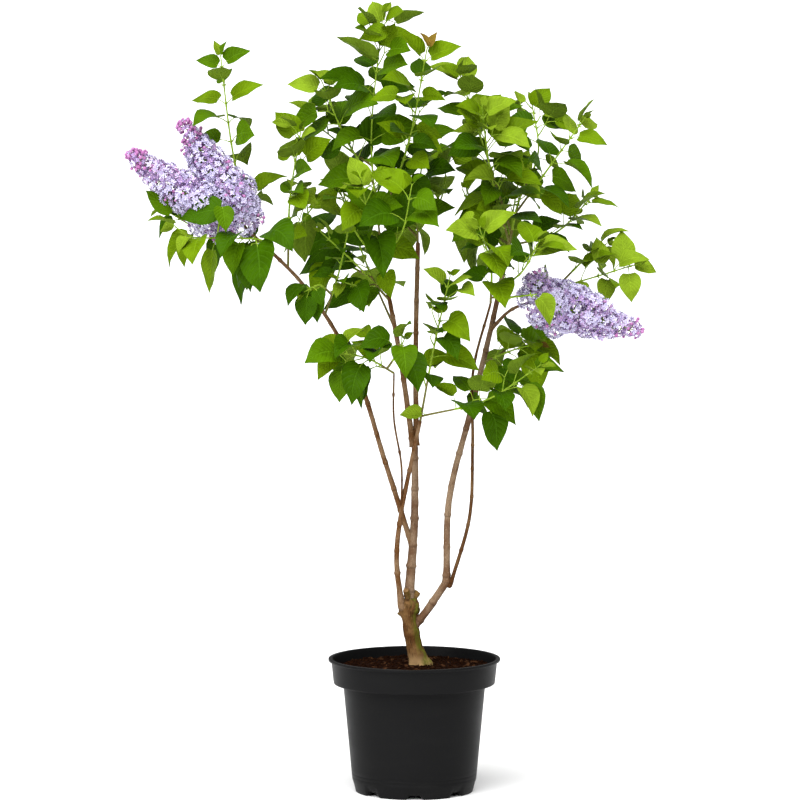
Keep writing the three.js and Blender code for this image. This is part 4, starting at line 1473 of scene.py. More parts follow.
class Recipe(NodePlan):
    """A Geometry Nodes tree that runs on a mesh."""

    family = "GeometryNode"

    def __init__(self, name: str) -> None:
        """Starts the tree with a geometry going in and one coming out.

        Args:
            name: the tree's name.
        """
        super().__init__(bpy.data.node_groups.new(name, "GeometryNodeTree"))
        sockets = self.tree.interface.new_socket
        for way in ("INPUT", "OUTPUT"):
            sockets("Geometry", in_out=way, socket_type="NodeSocketGeometry")
        self.way_in = self.tree.nodes.new("NodeGroupInput")
        self.way_out = self.tree.nodes.new("NodeGroupOutput")

    def ask(self, name: str, kind: str) -> Socket:
        """Adds a named input of a type, such as Int or Material, and gives its socket."""
        self.tree.interface.new_socket(name, in_out="INPUT", socket_type=f"NodeSocket{kind}")
        return self.way_in.outputs[name]

    def read(self, name: str, kind: str = "FLOAT") -> Socket:
        """The value that the geometry carries under a name."""
        return self.node("InputNamedAttribute", {"Name": name}, data_type=kind).outputs["Attribute"]

    def end(self, geometry: Socket) -> None:
        """Sends the geometry out."""
        self.link(geometry, self.way_out.inputs["Geometry"])

    def run(self, name: str, start: Mesh, given: dict[str, object]) -> Mesh:
        """Runs the tree on a mesh.

        Args:
            name: the new mesh's name.
            start: the mesh, which is used up.
            given: the inputs' values by name.

        Returns:
            The mesh that comes out.
        """
        holder = bpy.data.objects.new(f"{name}_seed", start)
        bpy.context.scene.collection.objects.link(holder)
        modifier = holder.modifiers.new("Recipe", "NODES")
        modifier.node_group = self.tree
        for item in self.tree.interface.items_tree:
            if item.in_out == "INPUT" and item.name in given:
                modifier[item.identifier] = given[item.name]
        depsgraph = bpy.context.evaluated_depsgraph_get()
        depsgraph.update()
        made = bpy.data.meshes.new_from_object(
            holder.evaluated_get(depsgraph), preserve_all_data_layers=True, depsgraph=depsgraph,
        )
        made.name = name
        bpy.data.objects.remove(holder)
        bpy.data.meshes.remove(start)
        return made


def tube_recipe() -> Recipe:
    """Makes the tree that skins lines by their radius.

    Returns:
        The tree, with the inputs Sides, Bark and Green for the green of lines.
    """
    recipe = Recipe("Tubes")
    sides = recipe.ask("Sides", "Int")
    bark = recipe.ask("Bark", "Material")
    green = recipe.ask("Green", "Material")
    curve = recipe.node("MeshToCurve", {"Mesh": recipe.way_in.outputs["Geometry"]})
    circle = recipe.node("CurvePrimitiveCircle", {"Resolution": sides, "Radius": 1.0})
    skin = recipe.node("CurveToMesh", {
        "Curve": curve.outputs[0], "Profile Curve": circle.outputs[0],
        "Scale": recipe.read("radius"), "Fill Caps": True,
    })
    real = recipe.node("RealizeInstances", {"Geometry": skin.outputs[0]})
    smooth = recipe.node("SetShadeSmooth", {"Geometry": real.outputs[0]})
    brown = recipe.node("SetMaterial", {"Geometry": smooth.outputs[0], "Material": bark})
    young = recipe.node("FunctionNodeCompare", {0: recipe.read("green"), 1: 0.5}, data_type="FLOAT")
    last = recipe.node("SetMaterial", {
        "Geometry": brown.outputs[0], "Selection": young.outputs[0], "Material": green,
    })
    recipe.end(last.outputs[0])
    return recipe


def scatter_recipe() -> Recipe:
    """Makes the tree that puts a shape on each point, of its kind, turn and size.

    Returns:
        The tree, with the inputs Shapes, Last for the last shape's number and Finish for
        its material.
    """
    recipe = Recipe("Scatter")
    shapes = recipe.ask("Shapes", "Collection")
    last = recipe.ask("Last", "Int")
    finish = recipe.ask("Finish", "Material")
    kinds = recipe.node("CollectionInfo", {
        "Collection": shapes, "Separate Children": True, "Reset Children": True,
    })
    facing = recipe.read("facing", "FLOAT_VECTOR")
    turned = recipe.node("FunctionNodeAlignRotationToVector", {"Vector": facing}, axis="Z")
    spun = recipe.node("FunctionNodeRotateRotation", {"Rotation": turned.outputs[0]},
                       rotation_space="LOCAL")
    about = recipe.node("FunctionNodeAxisAngleToRotation", {
        "Axis": (0, 0, 1), "Angle": recipe.read("spin"),
    })
    recipe.link(about.outputs[0], spun.inputs["Rotate By"])
    put = recipe.node("InstanceOnPoints", {
        "Points": recipe.way_in.outputs["Geometry"], "Instance": kinds.outputs[0],
        "Pick Instance": True, "Rotation": spun.outputs[0],
    })
    recipe.link(recipe.read("kind", "INT"), put.inputs["Instance Index"])
    recipe.link(recipe.read("size"), put.inputs["Scale"])
    real = recipe.node("RealizeInstances", {"Geometry": put.outputs[0]})
    alike = recipe.node("FunctionNodeCompare", {2: recipe.read("kind", "INT"), 3: last},
                        data_type="INT", operation="EQUAL")
    dressed = recipe.node("SetMaterial", {
        "Geometry": real.outputs[0], "Selection": alike.outputs[0], "Material": finish,
    })
    recipe.end(dressed.outputs[0])
    return recipe


def strewn(name: str, scatter: Recipe, shapes: Collection, places: Array, facings: Array,
           sizes: Array, kinds: Array, rng: Rng) -> Mesh:
    """Puts small shapes on places, each at its own turn, and gives them all as one mesh.

    Args:
        name: the new mesh's name.
        scatter: the tree that does it.
        shapes: the shapes, in the order of their numbers.
        places: where they go.
        facings: which way each one's top points.
        sizes: how large each is.
        kinds: the number of each one's shape.
        rng: what decides their turns.

    Returns:
        The mesh.
    """
    facings = facings / np.linalg.norm(facings, axis=1)[:, None]
    spins = rng.uniform(0, 2 * math.pi, len(places))
    seeds = plain_mesh(name, places, facing=facings, size=sizes, kind=kinds, spin=spins)
    last = len(shapes.objects) - 1
    finish = shapes.objects[last].data.materials[0]
    return scatter.run(name, seeds, {"Shapes": shapes, "Last": last, "Finish": finish})


# --- finishes


class Paint(NodePlan):
    """A material under construction: a principled surface and the nodes that feed it."""

    MIX_COLOURS = (6, 7)
    MIX_RESULT = 2

    def __init__(self, name: str, colour: Colour, roughness: float, specular: float = 0.02) -> None:
        """Starts the material.

        Args:
            name: its name.
            colour: its plain linear base colour.
            roughness: how matt it is.
            specular: how strongly it mirrors.
        """
        self.material = bpy.data.materials.new(name)
        self.material.use_nodes = True
        super().__init__(self.material.node_tree)
        self.inputs = self.tree.nodes["Principled BSDF"].inputs
        self.inputs["Base Color"].default_value = (*colour, 1)
        self.inputs["Roughness"].default_value = roughness
        self.inputs["Specular IOR Level"].default_value = specular
        self.material.diffuse_color = (*colour, 1)
        places = self.node("TexCoord")
        self.object, self.uv = places.outputs["Object"], places.outputs["UV"]

    def sum(self, step: str, *values: object) -> Socket:
        """The result of one arithmetic step on sockets or numbers."""
        return self.node("Math", dict(enumerate(values)), operation=step).outputs[0]

    def times(self, first: object, second: object) -> Socket:
        """The product of two sockets or numbers."""
        return self.sum("MULTIPLY", first, second)

    def line(self, value: Socket, slope: float, start: object) -> Socket:
        """A value times a slope, from a start."""
        return self.sum("MULTIPLY_ADD", value, slope, start)

    def scaled(self, place: Socket, scale: Triple) -> Socket:
        """A place stretched by a scale."""
        return self.node("Mapping", {"Vector": place, "Scale": scale}).outputs[0]

    def noise(self, place: Socket, scale: float, detail: float, roughness: float = 0.55) -> Socket:
        """Soft noise at a place, from 0 to 1."""
        links = {"Vector": place, "Scale": scale, "Detail": detail, "Roughness": roughness}
        return self.node("TexNoise", links).outputs[0]

    def cells(self, place: Socket, scale: float) -> Socket:
        """The distance from the nearest of scattered points."""
        return self.node("TexVoronoi", {"Vector": place, "Scale": scale}).outputs["Distance"]

    def between(self, value: Socket, span: Span) -> Socket:
        """A value brought from a range to 0 to 1, smoothly."""
        links = {"Value": value, "From Min": span[0], "From Max": span[1]}
        return self.node("MapRange", links, interpolation_type="SMOOTHSTEP").outputs[0]

    def value(self, name: str) -> Socket:
        """A number that the mesh carries for each point."""
        return self.node("Attribute", attribute_name=name).outputs["Fac"]

    def height(self) -> Socket:
        """The height above the floor in metres."""
        return self.node("SeparateXYZ", {0: self.object}).outputs[2]

    def mix(self, share: object, first: object, second: object) -> Socket:
        """Blends two colours.

        Args:
            share: how much of the second there is.
            first: a socket or three numbers.
            second: a socket or three numbers.

        Returns:
            The blend.
        """
        made = self.node("Mix", {0: share}, data_type="RGBA")
        for key, colour in zip(self.MIX_COLOURS, (first, second)):
            if isinstance(colour, Socket):
                self.link(colour, made.inputs[key])
            else:
                made.inputs[key].default_value = (*colour, 1)
        return made.outputs[self.MIX_RESULT]

    def finish(self, colour: Socket, roughness: Socket, height: Socket, depth: float,
               strength: float = 0.8) -> Material:
        """Leads colour, roughness and a relief into the surface.

        Args:
            colour: the base colour.
            roughness: the roughness.
            height: the relief's height.
            depth: how many metres deep it is.
            strength: how strongly it shades.

        Returns:
            The material.
        """
        relief = self.node("Bump", {"Height": height, "Distance": depth, "Strength": strength})
        self.link(colour, self.inputs["Base Color"])
        self.link(roughness, self.inputs["Roughness"])
        self.link(relief.outputs[0], self.inputs["Normal"])
        return self.material


def shade(colour: Colour, scale: float, lift: float = 0.0) -> Colour:
    """A colour made darker or lighter."""
    return tuple(min(1.0, channel * scale + lift) for channel in colour)


@dataclass(frozen=True)
class LeafFinish:
    """One tone of leaf: its green, with paler veins and soft mottling.

    A span says where a blend starts and where it is full.
    """

    name: str
    green: Colour
    vein: float = 0.22
    roughness: float = 0.5
    rib: Span = (0.075, 0.02)
    side_veins: float = 8
    slant: float = 2.6
    side_vein: Span = (0.40, 0.49)
    side_share: float = 0.6
    specks: float = 260
    speck: Span = (0.5, 0.8)
    speck_share: float = 0.3
    patches: float = 38
    patch: Span = (0.35, 0.7)
    paler: Span = (1.45, 0.004)
    darker: float = 0.72
    uneven: float = 0.16
    quilt: float = 2.5
    grain: float = 0.2
    depth: float = 0.0011
    strength: float = 0.6

    def make(self) -> Material:
        """Makes the material.

        Returns:
            The material.
        """
        paint = Paint(self.name, self.green, self.roughness)
        parts = paint.node("SeparateXYZ", {0: paint.uv})
        across = paint.sum("ABSOLUTE", paint.line(parts.outputs[1], 2.0, -1.0))
        rib = paint.between(across, self.rib)
        run = paint.sum("SUBTRACT", paint.times(parts.outputs[0], self.side_veins),
                        paint.times(across, self.slant))
        edge = paint.sum("ABSOLUTE", paint.sum("SUBTRACT", paint.sum("FRACT", run), 0.5))
        side = paint.between(edge, self.side_vein)
        fine = paint.noise(paint.object, self.specks, detail=2)
        broad = paint.noise(paint.object, self.patches, detail=2)
        veins = paint.sum("MAXIMUM", rib, paint.times(side, self.side_share))
        pale, dark = shade(self.green, *self.paler), shade(self.green, self.darker)
        ground = paint.mix(paint.between(broad, self.patch), self.green, dark)
        speck = paint.times(paint.between(fine, self.speck), self.speck_share)
        ground = paint.mix(speck, ground, pale)
        colour = paint.mix(paint.times(veins, self.vein), ground, pale)
        rough = paint.line(broad, self.uneven, self.roughness - self.uneven / 2)
        hollow = paint.sum("POWER", paint.times(edge, 2.0), self.quilt)
        quilt = paint.line(fine, self.grain, paint.sum("SUBTRACT", 1.0, hollow))
        height = paint.sum("SUBTRACT", quilt, rib)
        return paint.finish(colour, rough, height, self.depth, self.strength)


@dataclass(frozen=True)
class BarkFinish:
    """Lilac bark: brown to mauve grey, with pale lenticels and darker node rings, which on the
    trunk's head are painted shade in its hollows.

    Fibres, cracks and dots are as many a metre along, round and through the limb, and
    a span says where a blend starts and where it is full.
    """

    name: str
    brown: Colour
    grey: Colour
    pale: Colour
    moss: float = 0.0
    lenticels: float = 0.5
    cracks: float = 0.25
    roughness: float = 0.72
    patches: float = 26
    patch: Span = (0.38, 0.62)
    fibres: Triple = (260, 1300, 1)
    fibre: Span = (0.42, 0.68)
    fibre_share: float = 0.5
    crack_lines: Triple = (60, 520, 1)
    crack: Span = (0.56, 0.66)
    dots: Triple = (170, 250, 1)
    dot: Span = (0.3, 0.12)
    dot_height: float = 0.5
    darker: float = 0.3
    ring_share: float = 0.6
    bare: Span = (0.230, 0.212)
    bare_share: float = 0.75
    moss_patches: Triple = (150, 150, 34)
    moss_patch: Span = (0.34, 0.6)
    moss_colours: tuple[Colour, Colour] = ((0.050, 0.066, 0.004), (0.150, 0.165, 0.018))
    uneven: Span = (0.2, 0.6)
    depth: float = 0.0008
    strength: float = 0.9

    def make(self) -> Material:
        """Makes the material.

        Returns:
            The material.
        """
        paint = Paint(self.name, self.brown, self.roughness)
        scales = (self.fibres, self.crack_lines, self.dots)
        fibres, cracks, dots = (paint.scaled(paint.uv, scale) for scale in scales)
        broad = paint.noise(paint.object, self.patches, detail=4)
        fine = paint.noise(fibres, 1.0, detail=4, roughness=0.65)
        crack = paint.noise(cracks, 1.0, detail=3, roughness=0.5)
        lenticel = paint.between(paint.cells(dots, 1.0), self.dot)
        ground = paint.mix(paint.between(broad, self.patch), self.brown, self.grey)
        dark = paint.sum("MAXIMUM", paint.times(paint.between(fine, self.fibre), self.fibre_share),
                         paint.times(paint.between(crack, self.crack), self.cracks))
        # the ring value darkens node rings, and on the trunk's head paints shade in the hollows
        # between knuckles
        dark = paint.sum("MAXIMUM", dark, paint.times(paint.value("ring"), self.ring_share))
        ground = paint.mix(dark, ground, shade(self.brown, self.darker))
        ground = paint.mix(paint.times(lenticel, self.lenticels), ground, self.pale)
        if self.moss:
            bare = paint.times(paint.between(paint.height(), self.bare), self.bare_share)
            ground = paint.mix(bare, ground, self.pale)
            patches = paint.scaled(paint.object, self.moss_patches)
            worn = paint.noise(patches, 1.0, detail=4, roughness=0.6)
            grown = paint.times(paint.value("moss"), paint.between(worn, self.moss_patch))
            film = paint.mix(fine, *self.moss_colours)
            ground = paint.mix(paint.times(grown, self.moss), ground, film)
        rough = paint.line(broad, *self.uneven)
        height = paint.line(lenticel, self.dot_height, fine)
        return paint.finish(ground, rough, height, self.depth, self.strength)


@dataclass(frozen=True)
class PlainFinish:
    """A small part's finish: one colour with fine mottling and a fine relief."""

    name: str
    colour: Colour
    second: Colour
    scale: float = 120
    roughness: float = 0.6
    depth: float = 0.0003
    mottle: Span = (0.36, 0.66)
    uneven: float = 0.2

    def make(self) -> Material:
        """Makes the material.

        Returns:
            The material.
        """
        paint = Paint(self.name, self.colour, self.roughness)
        grain = paint.noise(paint.object, self.scale, detail=4, roughness=0.6)
        colour = paint.mix(paint.between(grain, self.mottle), self.colour, self.second)
        rough = paint.line(grain, self.uneven, self.roughness - self.uneven / 2)
        return paint.finish(colour, rough, grain, self.depth)


@dataclass(frozen=True)
class PotFinish:
    """Black moulded plastic with a fine satin grain and a little dust low down."""

    name: str = "pot_black_plastic"
    black: Colour = (0.0060, 0.0060, 0.0062)
    dust: Colour = (0.0112, 0.0110, 0.0106)
    roughness: float = 0.5
    specular: float = 0.05
    grains: float = 1400
    scuffs: Triple = (9, 9, 34)
    scuff: Span = (0.45, 0.75)
    dusty: Span = (0.09, 0.0)
    film: Span = (0.35, 0.18)
    uneven: Span = (0.22, 0.3)
    depth: float = 0.00012
    strength: float = 0.6

    def make(self) -> Material:
        """Makes the material.

        Returns:
            The material.
        """
        paint = Paint(self.name, self.black, self.roughness, self.specular)
        grain = paint.noise(paint.object, self.grains, detail=2)
        scuffs = paint.scaled(paint.object, self.scuffs)
        scuff = paint.noise(scuffs, 1.0, detail=5, roughness=0.6)
        low = paint.line(paint.between(paint.height(), self.dusty), *self.film)
        film = paint.times(paint.between(scuff, self.scuff), low)
        colour, rough = paint.mix(film, self.black, self.dust), paint.line(scuff, *self.uneven)
        return paint.finish(colour, rough, grain, self.depth, self.strength)


def petal(name: str, colour: Colour, second: Colour) -> PlainFinish:
    """A petal's finish: smooth, and finely mottled."""
    return PlainFinish(f"petal_{name}", colour, second, scale=190, depth=0.0001)


class LeafTone(Enum):
    """The tones that leaves are dealt, and their undersides; dealt by a mass's place, the greens
    also paint light and shade.
    """

    DEEP = LeafFinish("leaf_deep", (0.034, 0.090, 0.0005), 0.60, 0.34)
    MID = LeafFinish("leaf_mid", (0.062, 0.137, 0.001), 0.56, 0.36)
    FRESH = LeafFinish("leaf_fresh", (0.115, 0.200, 0.002), 0.50, 0.38)
    YOUNG = LeafFinish("leaf_young", (0.180, 0.280, 0.012), 0.46, 0.40)
    BRONZE = LeafFinish("leaf_bronze", (0.190, 0.125, 0.018), 0.30, 0.50)
    UNDER = LeafFinish("leaf_under", (0.120, 0.195, 0.012), 0.44, 0.60)


class PetalTint(Enum):
    """The tints that florets are dealt; the deeper ones also paint shade on florets that face into
    their clusters.
    """

    PALE = petal("pale_lilac", (0.560, 0.520, 0.720), (0.590, 0.550, 0.730))
    BLUE = petal("lilac_blue", (0.490, 0.450, 0.670), (0.540, 0.500, 0.695))
    PINK = petal("pink_mauve", (0.450, 0.290, 0.510), (0.550, 0.410, 0.620))
    # a deep violet, real near the tips, mostly dealt as painted shade to florets in the clusters'
    # clefts
    VIOLET = petal("violet", (0.300, 0.205, 0.440), (0.400, 0.300, 0.560))
    BUD = petal("bud_magenta", (0.345, 0.115, 0.300), (0.460, 0.225, 0.440))


STEM_BARK = BarkFinish("stem_bark", (0.120, 0.052, 0.018), (0.220, 0.136, 0.074),
                       (0.430, 0.320, 0.190), 0.0, 0.25, 0.6)
GREY_BARK = BarkFinish("grey_bark", (0.138, 0.074, 0.040), (0.262, 0.180, 0.114),
                       (0.440, 0.330, 0.225), 0.0, 0.25, 0.5)
DARK_BARK = BarkFinish("dark_bark", (0.075, 0.031, 0.011), (0.145, 0.080, 0.034),
                       (0.280, 0.180, 0.090), 0.0, 0.25, 0.6)
TRUNK_BARK = BarkFinish("trunk_bark", (0.084, 0.033, 0.010), (0.185, 0.100, 0.038),
                        (0.310, 0.200, 0.092), 0.8, 0.12, 0.95)
CUT_WOOD = PlainFinish("cut_wood", (0.235, 0.140, 0.060), (0.120, 0.062, 0.026), 320, 0.75, 0.0005)
SCAR = PlainFinish("orange_scar", (0.420, 0.170, 0.040), (0.240, 0.100, 0.035), 420, 0.75, 0.0004)
TWIG_BARK = PlainFinish("twig_bark", (0.140, 0.115, 0.034), (0.165, 0.170, 0.050), 240, 0.65)
GREEN_STALK = PlainFinish("green_stalk", (0.165, 0.285, 0.016), (0.285, 0.405, 0.040), 200, 0.5)
SOIL_DARK = PlainFinish("soil_dark", (0.006, 0.0018, 0.0008), (0.014, 0.0048, 0.002),
                        420, 0.9, 0.0012)
SOIL_BROWN = PlainFinish("soil_brown", (0.014, 0.0040, 0.0012), (0.026, 0.0090, 0.0032),
                         380, 0.9, 0.0008)
BARK_CHIP = PlainFinish("bark_chip", (0.060, 0.026, 0.011), (0.032, 0.013, 0.005),
                        300, 0.85, 0.0008)
FLOOR = PlainFinish("studio_floor", (0.92, 0.92, 0.92), (0.90, 0.90, 0.90), 2, 0.95, 0.0)


@cache
def material(finish: LeafFinish | BarkFinish | PlainFinish | PotFinish) -> Material:
    """A finish's material, made once."""
    return finish.make()


# --- woodwork


@dataclass(frozen=True)
class LimbForm:
    """How a limb's skin is laid: its sides, its relief's lattices and its rounded top."""

    sides: int = 18
    columns: tuple[int, int] = (7, 12)
    wave: float = 13
    top: float = 1.2
    top_depth: float = 0.3
    cap: float = 0.5


@dataclass(frozen=True)
class StubForm:
    """How a pruning stub's skin is laid: swollen at its foot and in a ring under its cut."""

    sides: int = 16
    rows: int = 9
    lattice: tuple[int, int] = (50, 6)
    wave: float = 5
    relief: float = 0.08
    foot: float = 1.18
    slim: float = 0.26
    ring: float = 0.12
    ring_at: Span = (0.86, 0.1)
    rim: float = 0.45
    sunk: float = 0.7
    moss: float = 0.25


TRUNK_FORM = LimbForm(56, (14, 30), 9, 5, 0.75, 1.6)
BOUGH_FORM = LimbForm()
STUB_FORM = StubForm()


@dataclass
class Woodwork:
    """The trunk and boughs with their bark's relief.

    A pair of a place and a spread says where a swelling stands and how wide it is.
    """

    growth: Growth
    spacing: float = 2.6
    least: int = 8
    sunk: tuple[int, int, int] = (7, 1, 4)
    behind: float = 0.2
    lattice: tuple[int, int] = (211, 307)
    fine_wave: float = 4.2
    warp: float = 0.1
    grain: float = 0.055
    fine_share: float = 0.5
    first_node: Span = (10, 24)
    node_spacing: Span = (34, 58)
    last_node: float = 6
    node_swell: float = 0.14
    swell: Span = (0, 2.4)
    ring: Span = (-2.5, 1.1)
    scar: Span = (1.5, 2.2)
    bud_scar: float = 0.9
    scar_power: int = 6
    collar: Span = (0.32, 9)
    collars: dict[str, Span] = field(default_factory=lambda: {
        "left_stem": (0.9, 20), "centre_stem": (0.36, 90),
    })
    knee: float = 4
    knee_steps: int = 9
    knee_lead: float = 1.7
    # painted shade in the hollows of the trunk's knotted head: how dark, where along the trunk and
    # how steeply with the relief
    painted_recess_shade: float = 1.4
    recess_at: Span = (0.95, 0.12)
    recess_slope: float = -1.8
    lobes: int = 5
    lobe: float = 0.13
    lobe_turn: float = 0.8
    lobe_fade: float = 7
    knuckle_at: Span = (0.9, 0.13)
    knuckle: Span = (2.6, 2.0)
    graft_at: Span = (0.48, 0.05)
    graft: float = 0.9
    moss_way: Triple = (1.0, -0.45, 0.0)
    moss_from: float = 0.45
    moss_slope: float = 2.4
    barks: dict[str, BarkFinish] = field(default_factory=lambda: {
        "trunk": TRUNK_BARK, "centre_stem": GREY_BARK, "right_stem": GREY_BARK,
        "right_main": GREY_BARK, "dark_twig": DARK_BARK, "right_thin": DARK_BARK,
    })

    def build(self) -> None:
        """Builds and dresses each limb in place of its solid."""
        for name, limb in self.growth.limbs.items():
            skin = Skin()
            self._sweep(skin, name, limb)
            for row in (row for row in STUB_ROWS if row.on == name):
                self._stub(skin, row, limb)
            tip = SCAR if name == "right_main" else CUT_WOOD
            bark = self.barks.get(name, STEM_BARK)
            mesh = skin.mesh(f"{name}_bark", material(bark), material(tip))
            settle(f"{name}_bark", mesh, "trunk_bark" if name == "trunk" else "stem_bark", name)

    def _line(self, name: str, limb: Limb) -> Array:
        """The limb's line in fine steps, sunk a little at its root.

        Args:
            name: the limb's name.
            limb: the limb.

        Returns:
            Its points.
        """
        points = limb.path.evenly(max(self.least, round(limb.path.length / self.spacing)))
        if name == "trunk":
            return np.concatenate([points[0] - UP * np.linspace(*self.sunk)[:, None], points])
        row = next(row for row in LIMB_ROWS if row.name == name)
        if np.linalg.norm(row.seat) < self.knee:
            return points
        start = self.growth.limbs[row.on].path.at(row.at) - UP * self.knee
        lead = points[0] - (points[3] - points[0]) * self.knee_lead
        t = np.linspace(0, 1, self.knee_steps + 1)[:-1, None]
        knee = start * (1 - t) ** 2 + lead * 2 * t * (1 - t) + points[0] * t ** 2
        return np.concatenate([knee, points])

    def _sweep(self, skin: Skin, name: str, limb: Limb) -> None:
        """Adds a limb's skin, with node rings (on the trunk, painted shade in its head's hollows
        instead), a collar at its root and a cut top.

        Args:
            skin: what it is added to.
            name: the limb's name.
            limb: the limb.
        """
        trunk = name == "trunk"
        form = TRUNK_FORM if trunk else BOUGH_FORM
        points = self._line(name, limb)
        along = np.cumsum([0, *np.linalg.norm(np.diff(points, axis=0), axis=1)])
        left = along[-1] - along
        share = np.clip(1 - left / limb.path.length, 0, 1)
        rng = np.random.default_rng(sum(ord(letter) for letter in name))
        angle = turns(form.sides)
        around = angle[None] / (2 * math.pi)
        swell, ring, scars = self._nodes(along[:1] if trunk else along, angle, rng)
        collar, length = (0, 1) if trunk else self.collars.get(name, self.collar)
        radius = limb.radius(share) * (1 + swell) * (1 + collar * np.exp(-along / length))
        broad, fine = (
            Relief(int(rng.integers(SEEDS)), rows, columns)
            for rows, columns in zip(self.lattice, form.columns)
        )
        rough = broad(along[:, None] / form.wave, around)
        crisp = fine(along[:, None] / self.fine_wave, around + self.warp * rough)
        relief = self.grain * (rough + self.fine_share * crisp)
        reach = radius[:, None] * (1 + relief) + scars
        ring = np.broadcast_to(ring, len(points))[:, None]
        if trunk:
            reach = self._trunk_form(reach, share, angle, rough, crisp)
            # on the trunk the ring value is painted shade, darkest in the hollows between the
            # head's knuckles
            ring = self.painted_recess_shade * hump(share, *self.recess_at)[:, None]
            ring = ring * np.clip(self.recess_slope * crisp, 0, 1)
        top = 1 - np.clip(left / form.top, 0, 1)
        reach = reach * np.sqrt(1 - top ** 2 * form.top_depth)[:, None]
        rings, ways = rings_round(points, reach)
        mossy = ways @ unit(np.array(self.moss_way)) - self.moss_from
        foot = points[0] * (1 + self.behind) - points[1] * self.behind
        head = points[-1] + unit(points[-1] - points[-2]) * form.cap
        kinds = np.repeat([0] * len(points) + [0 if trunk else 1], form.sides)
        skin.drum(rings, foot, head, kinds, ring=ring, moss=np.clip(mossy * self.moss_slope, 0, 1))

    def _nodes(self, along: Array, angle: Array, rng: Rng) -> tuple[Array, ...]:
        """Sets leaf nodes along a limb, each pair turned a quarter from the last.

        Args:
            along: how far along the limb each ring of points is.
            angle: the angle of each of its sides.
            rng: what decides where they stand.

        Returns:
            The swelling and the ring at each point, and the bud scars' height at each side.
        """
        swell, ring = np.zeros((2, len(along)))
        scars = np.zeros((len(along), len(angle)))
        place, turn = rng.uniform(*self.first_node), rng.uniform(0, math.pi)
        while place < along[-1] - self.last_node:
            off = along - place
            swell = swell + self.node_swell * hump(off, *self.swell)
            ring = np.maximum(ring, hump(off, *self.ring))
            side = np.cos(angle - turn) ** self.scar_power
            scars += self.bud_scar * np.outer(hump(off, *self.scar), side)
            turn += QUARTER
            place += rng.uniform(*self.node_spacing)
        return swell, ring, scars

    def _trunk_form(self, reach: Array, share: Array, angle: Array, rough: Array,
                    crisp: Array) -> Array:
        """Gives the trunk its root lobes, its graft and the knuckles of its pruned head.

        Args:
            reach: how far out each point stands.
            share: how far along the trunk each ring is.
            angle: the angle of each side.
            rough: the broad relief.
            crisp: the fine relief.

        Returns:
            The new reach.
        """
        lobes = self.lobe * np.cos(self.lobes * angle + self.lobe_turn)[None]
        lobes = lobes * np.exp(-share * self.lobe_fade)[:, None]
        knuckles = self.knuckle[0] * rough + self.knuckle[1] * crisp
        knuckles = hump(share, *self.knuckle_at)[:, None] * knuckles
        return reach * (1 + lobes) + knuckles + self.graft * hump(share, *self.graft_at)[:, None]

    @staticmethod
    def _stub(skin: Skin, row: StubRow, limb: Limb) -> None:
        """Adds a pruned branch's stub with its dry cut face.

        Args:
            skin: what it is added to.
            row: the stub's plan.
            limb: the limb that bears it.
        """
        form = STUB_FORM
        root = limb.path.at(row.at)
        turn, lift = math.radians(row.turn), math.radians(row.lift)
        level = math.cos(lift)
        way = np.array([math.cos(turn) * level, math.sin(turn) * level, math.sin(lift)])
        shares = np.linspace(0, 1, form.rows)
        around = turns(form.sides)[None] / (2 * math.pi)
        relief = Relief(round(row.turn), *form.lattice)(shares[:, None] * form.wave, around)
        swell = form.foot - form.slim * shares + form.ring * hump(shares, *form.ring_at)
        reach = row.radius * swell[:, None] * (1 + form.relief * relief)
        rings = rings_round(root + way * row.length * shares[:, None], reach)[0]
        end = root + way * row.length
        rim = rings[-1:] * form.rim + (end - way * form.sunk) * (1 - form.rim)
        kinds = np.repeat([0] * (form.rows - 1) + [1, 0, 1], form.sides)
        skin.drum(np.concatenate([rings, rim]), root, end - way, kinds,
                  ring=np.zeros(1), moss=np.full(1, form.moss))


# --- foliage


@dataclass(frozen=True)
class StalkForm:
    """How thick shoots, buds, finer twigs and stalks are along their lines."""

    step: float = 5
    least: int = 6
    foot: float = 0.82
    tip: float = 0.95
    node: float = 0.55
    node_reach: float = 4
    green_from: Span = (0.1, 0.35)
    bud_lean: float = 0.8
    bud_out: Row = (1.5, 3.0, 4.8, 6.0)
    bud_radius: Row = (0.8, 1.35, 0.9, 0.15)
    twig: float = 1.3
    twig_taper: float = 0.35
    sag: float = 0.05
    into_blade: float = 0.3
    stalk: Row = (1.25, 1, 0.95, 0.5)
    stalk_radius: Span = (0.45, 0.0055)


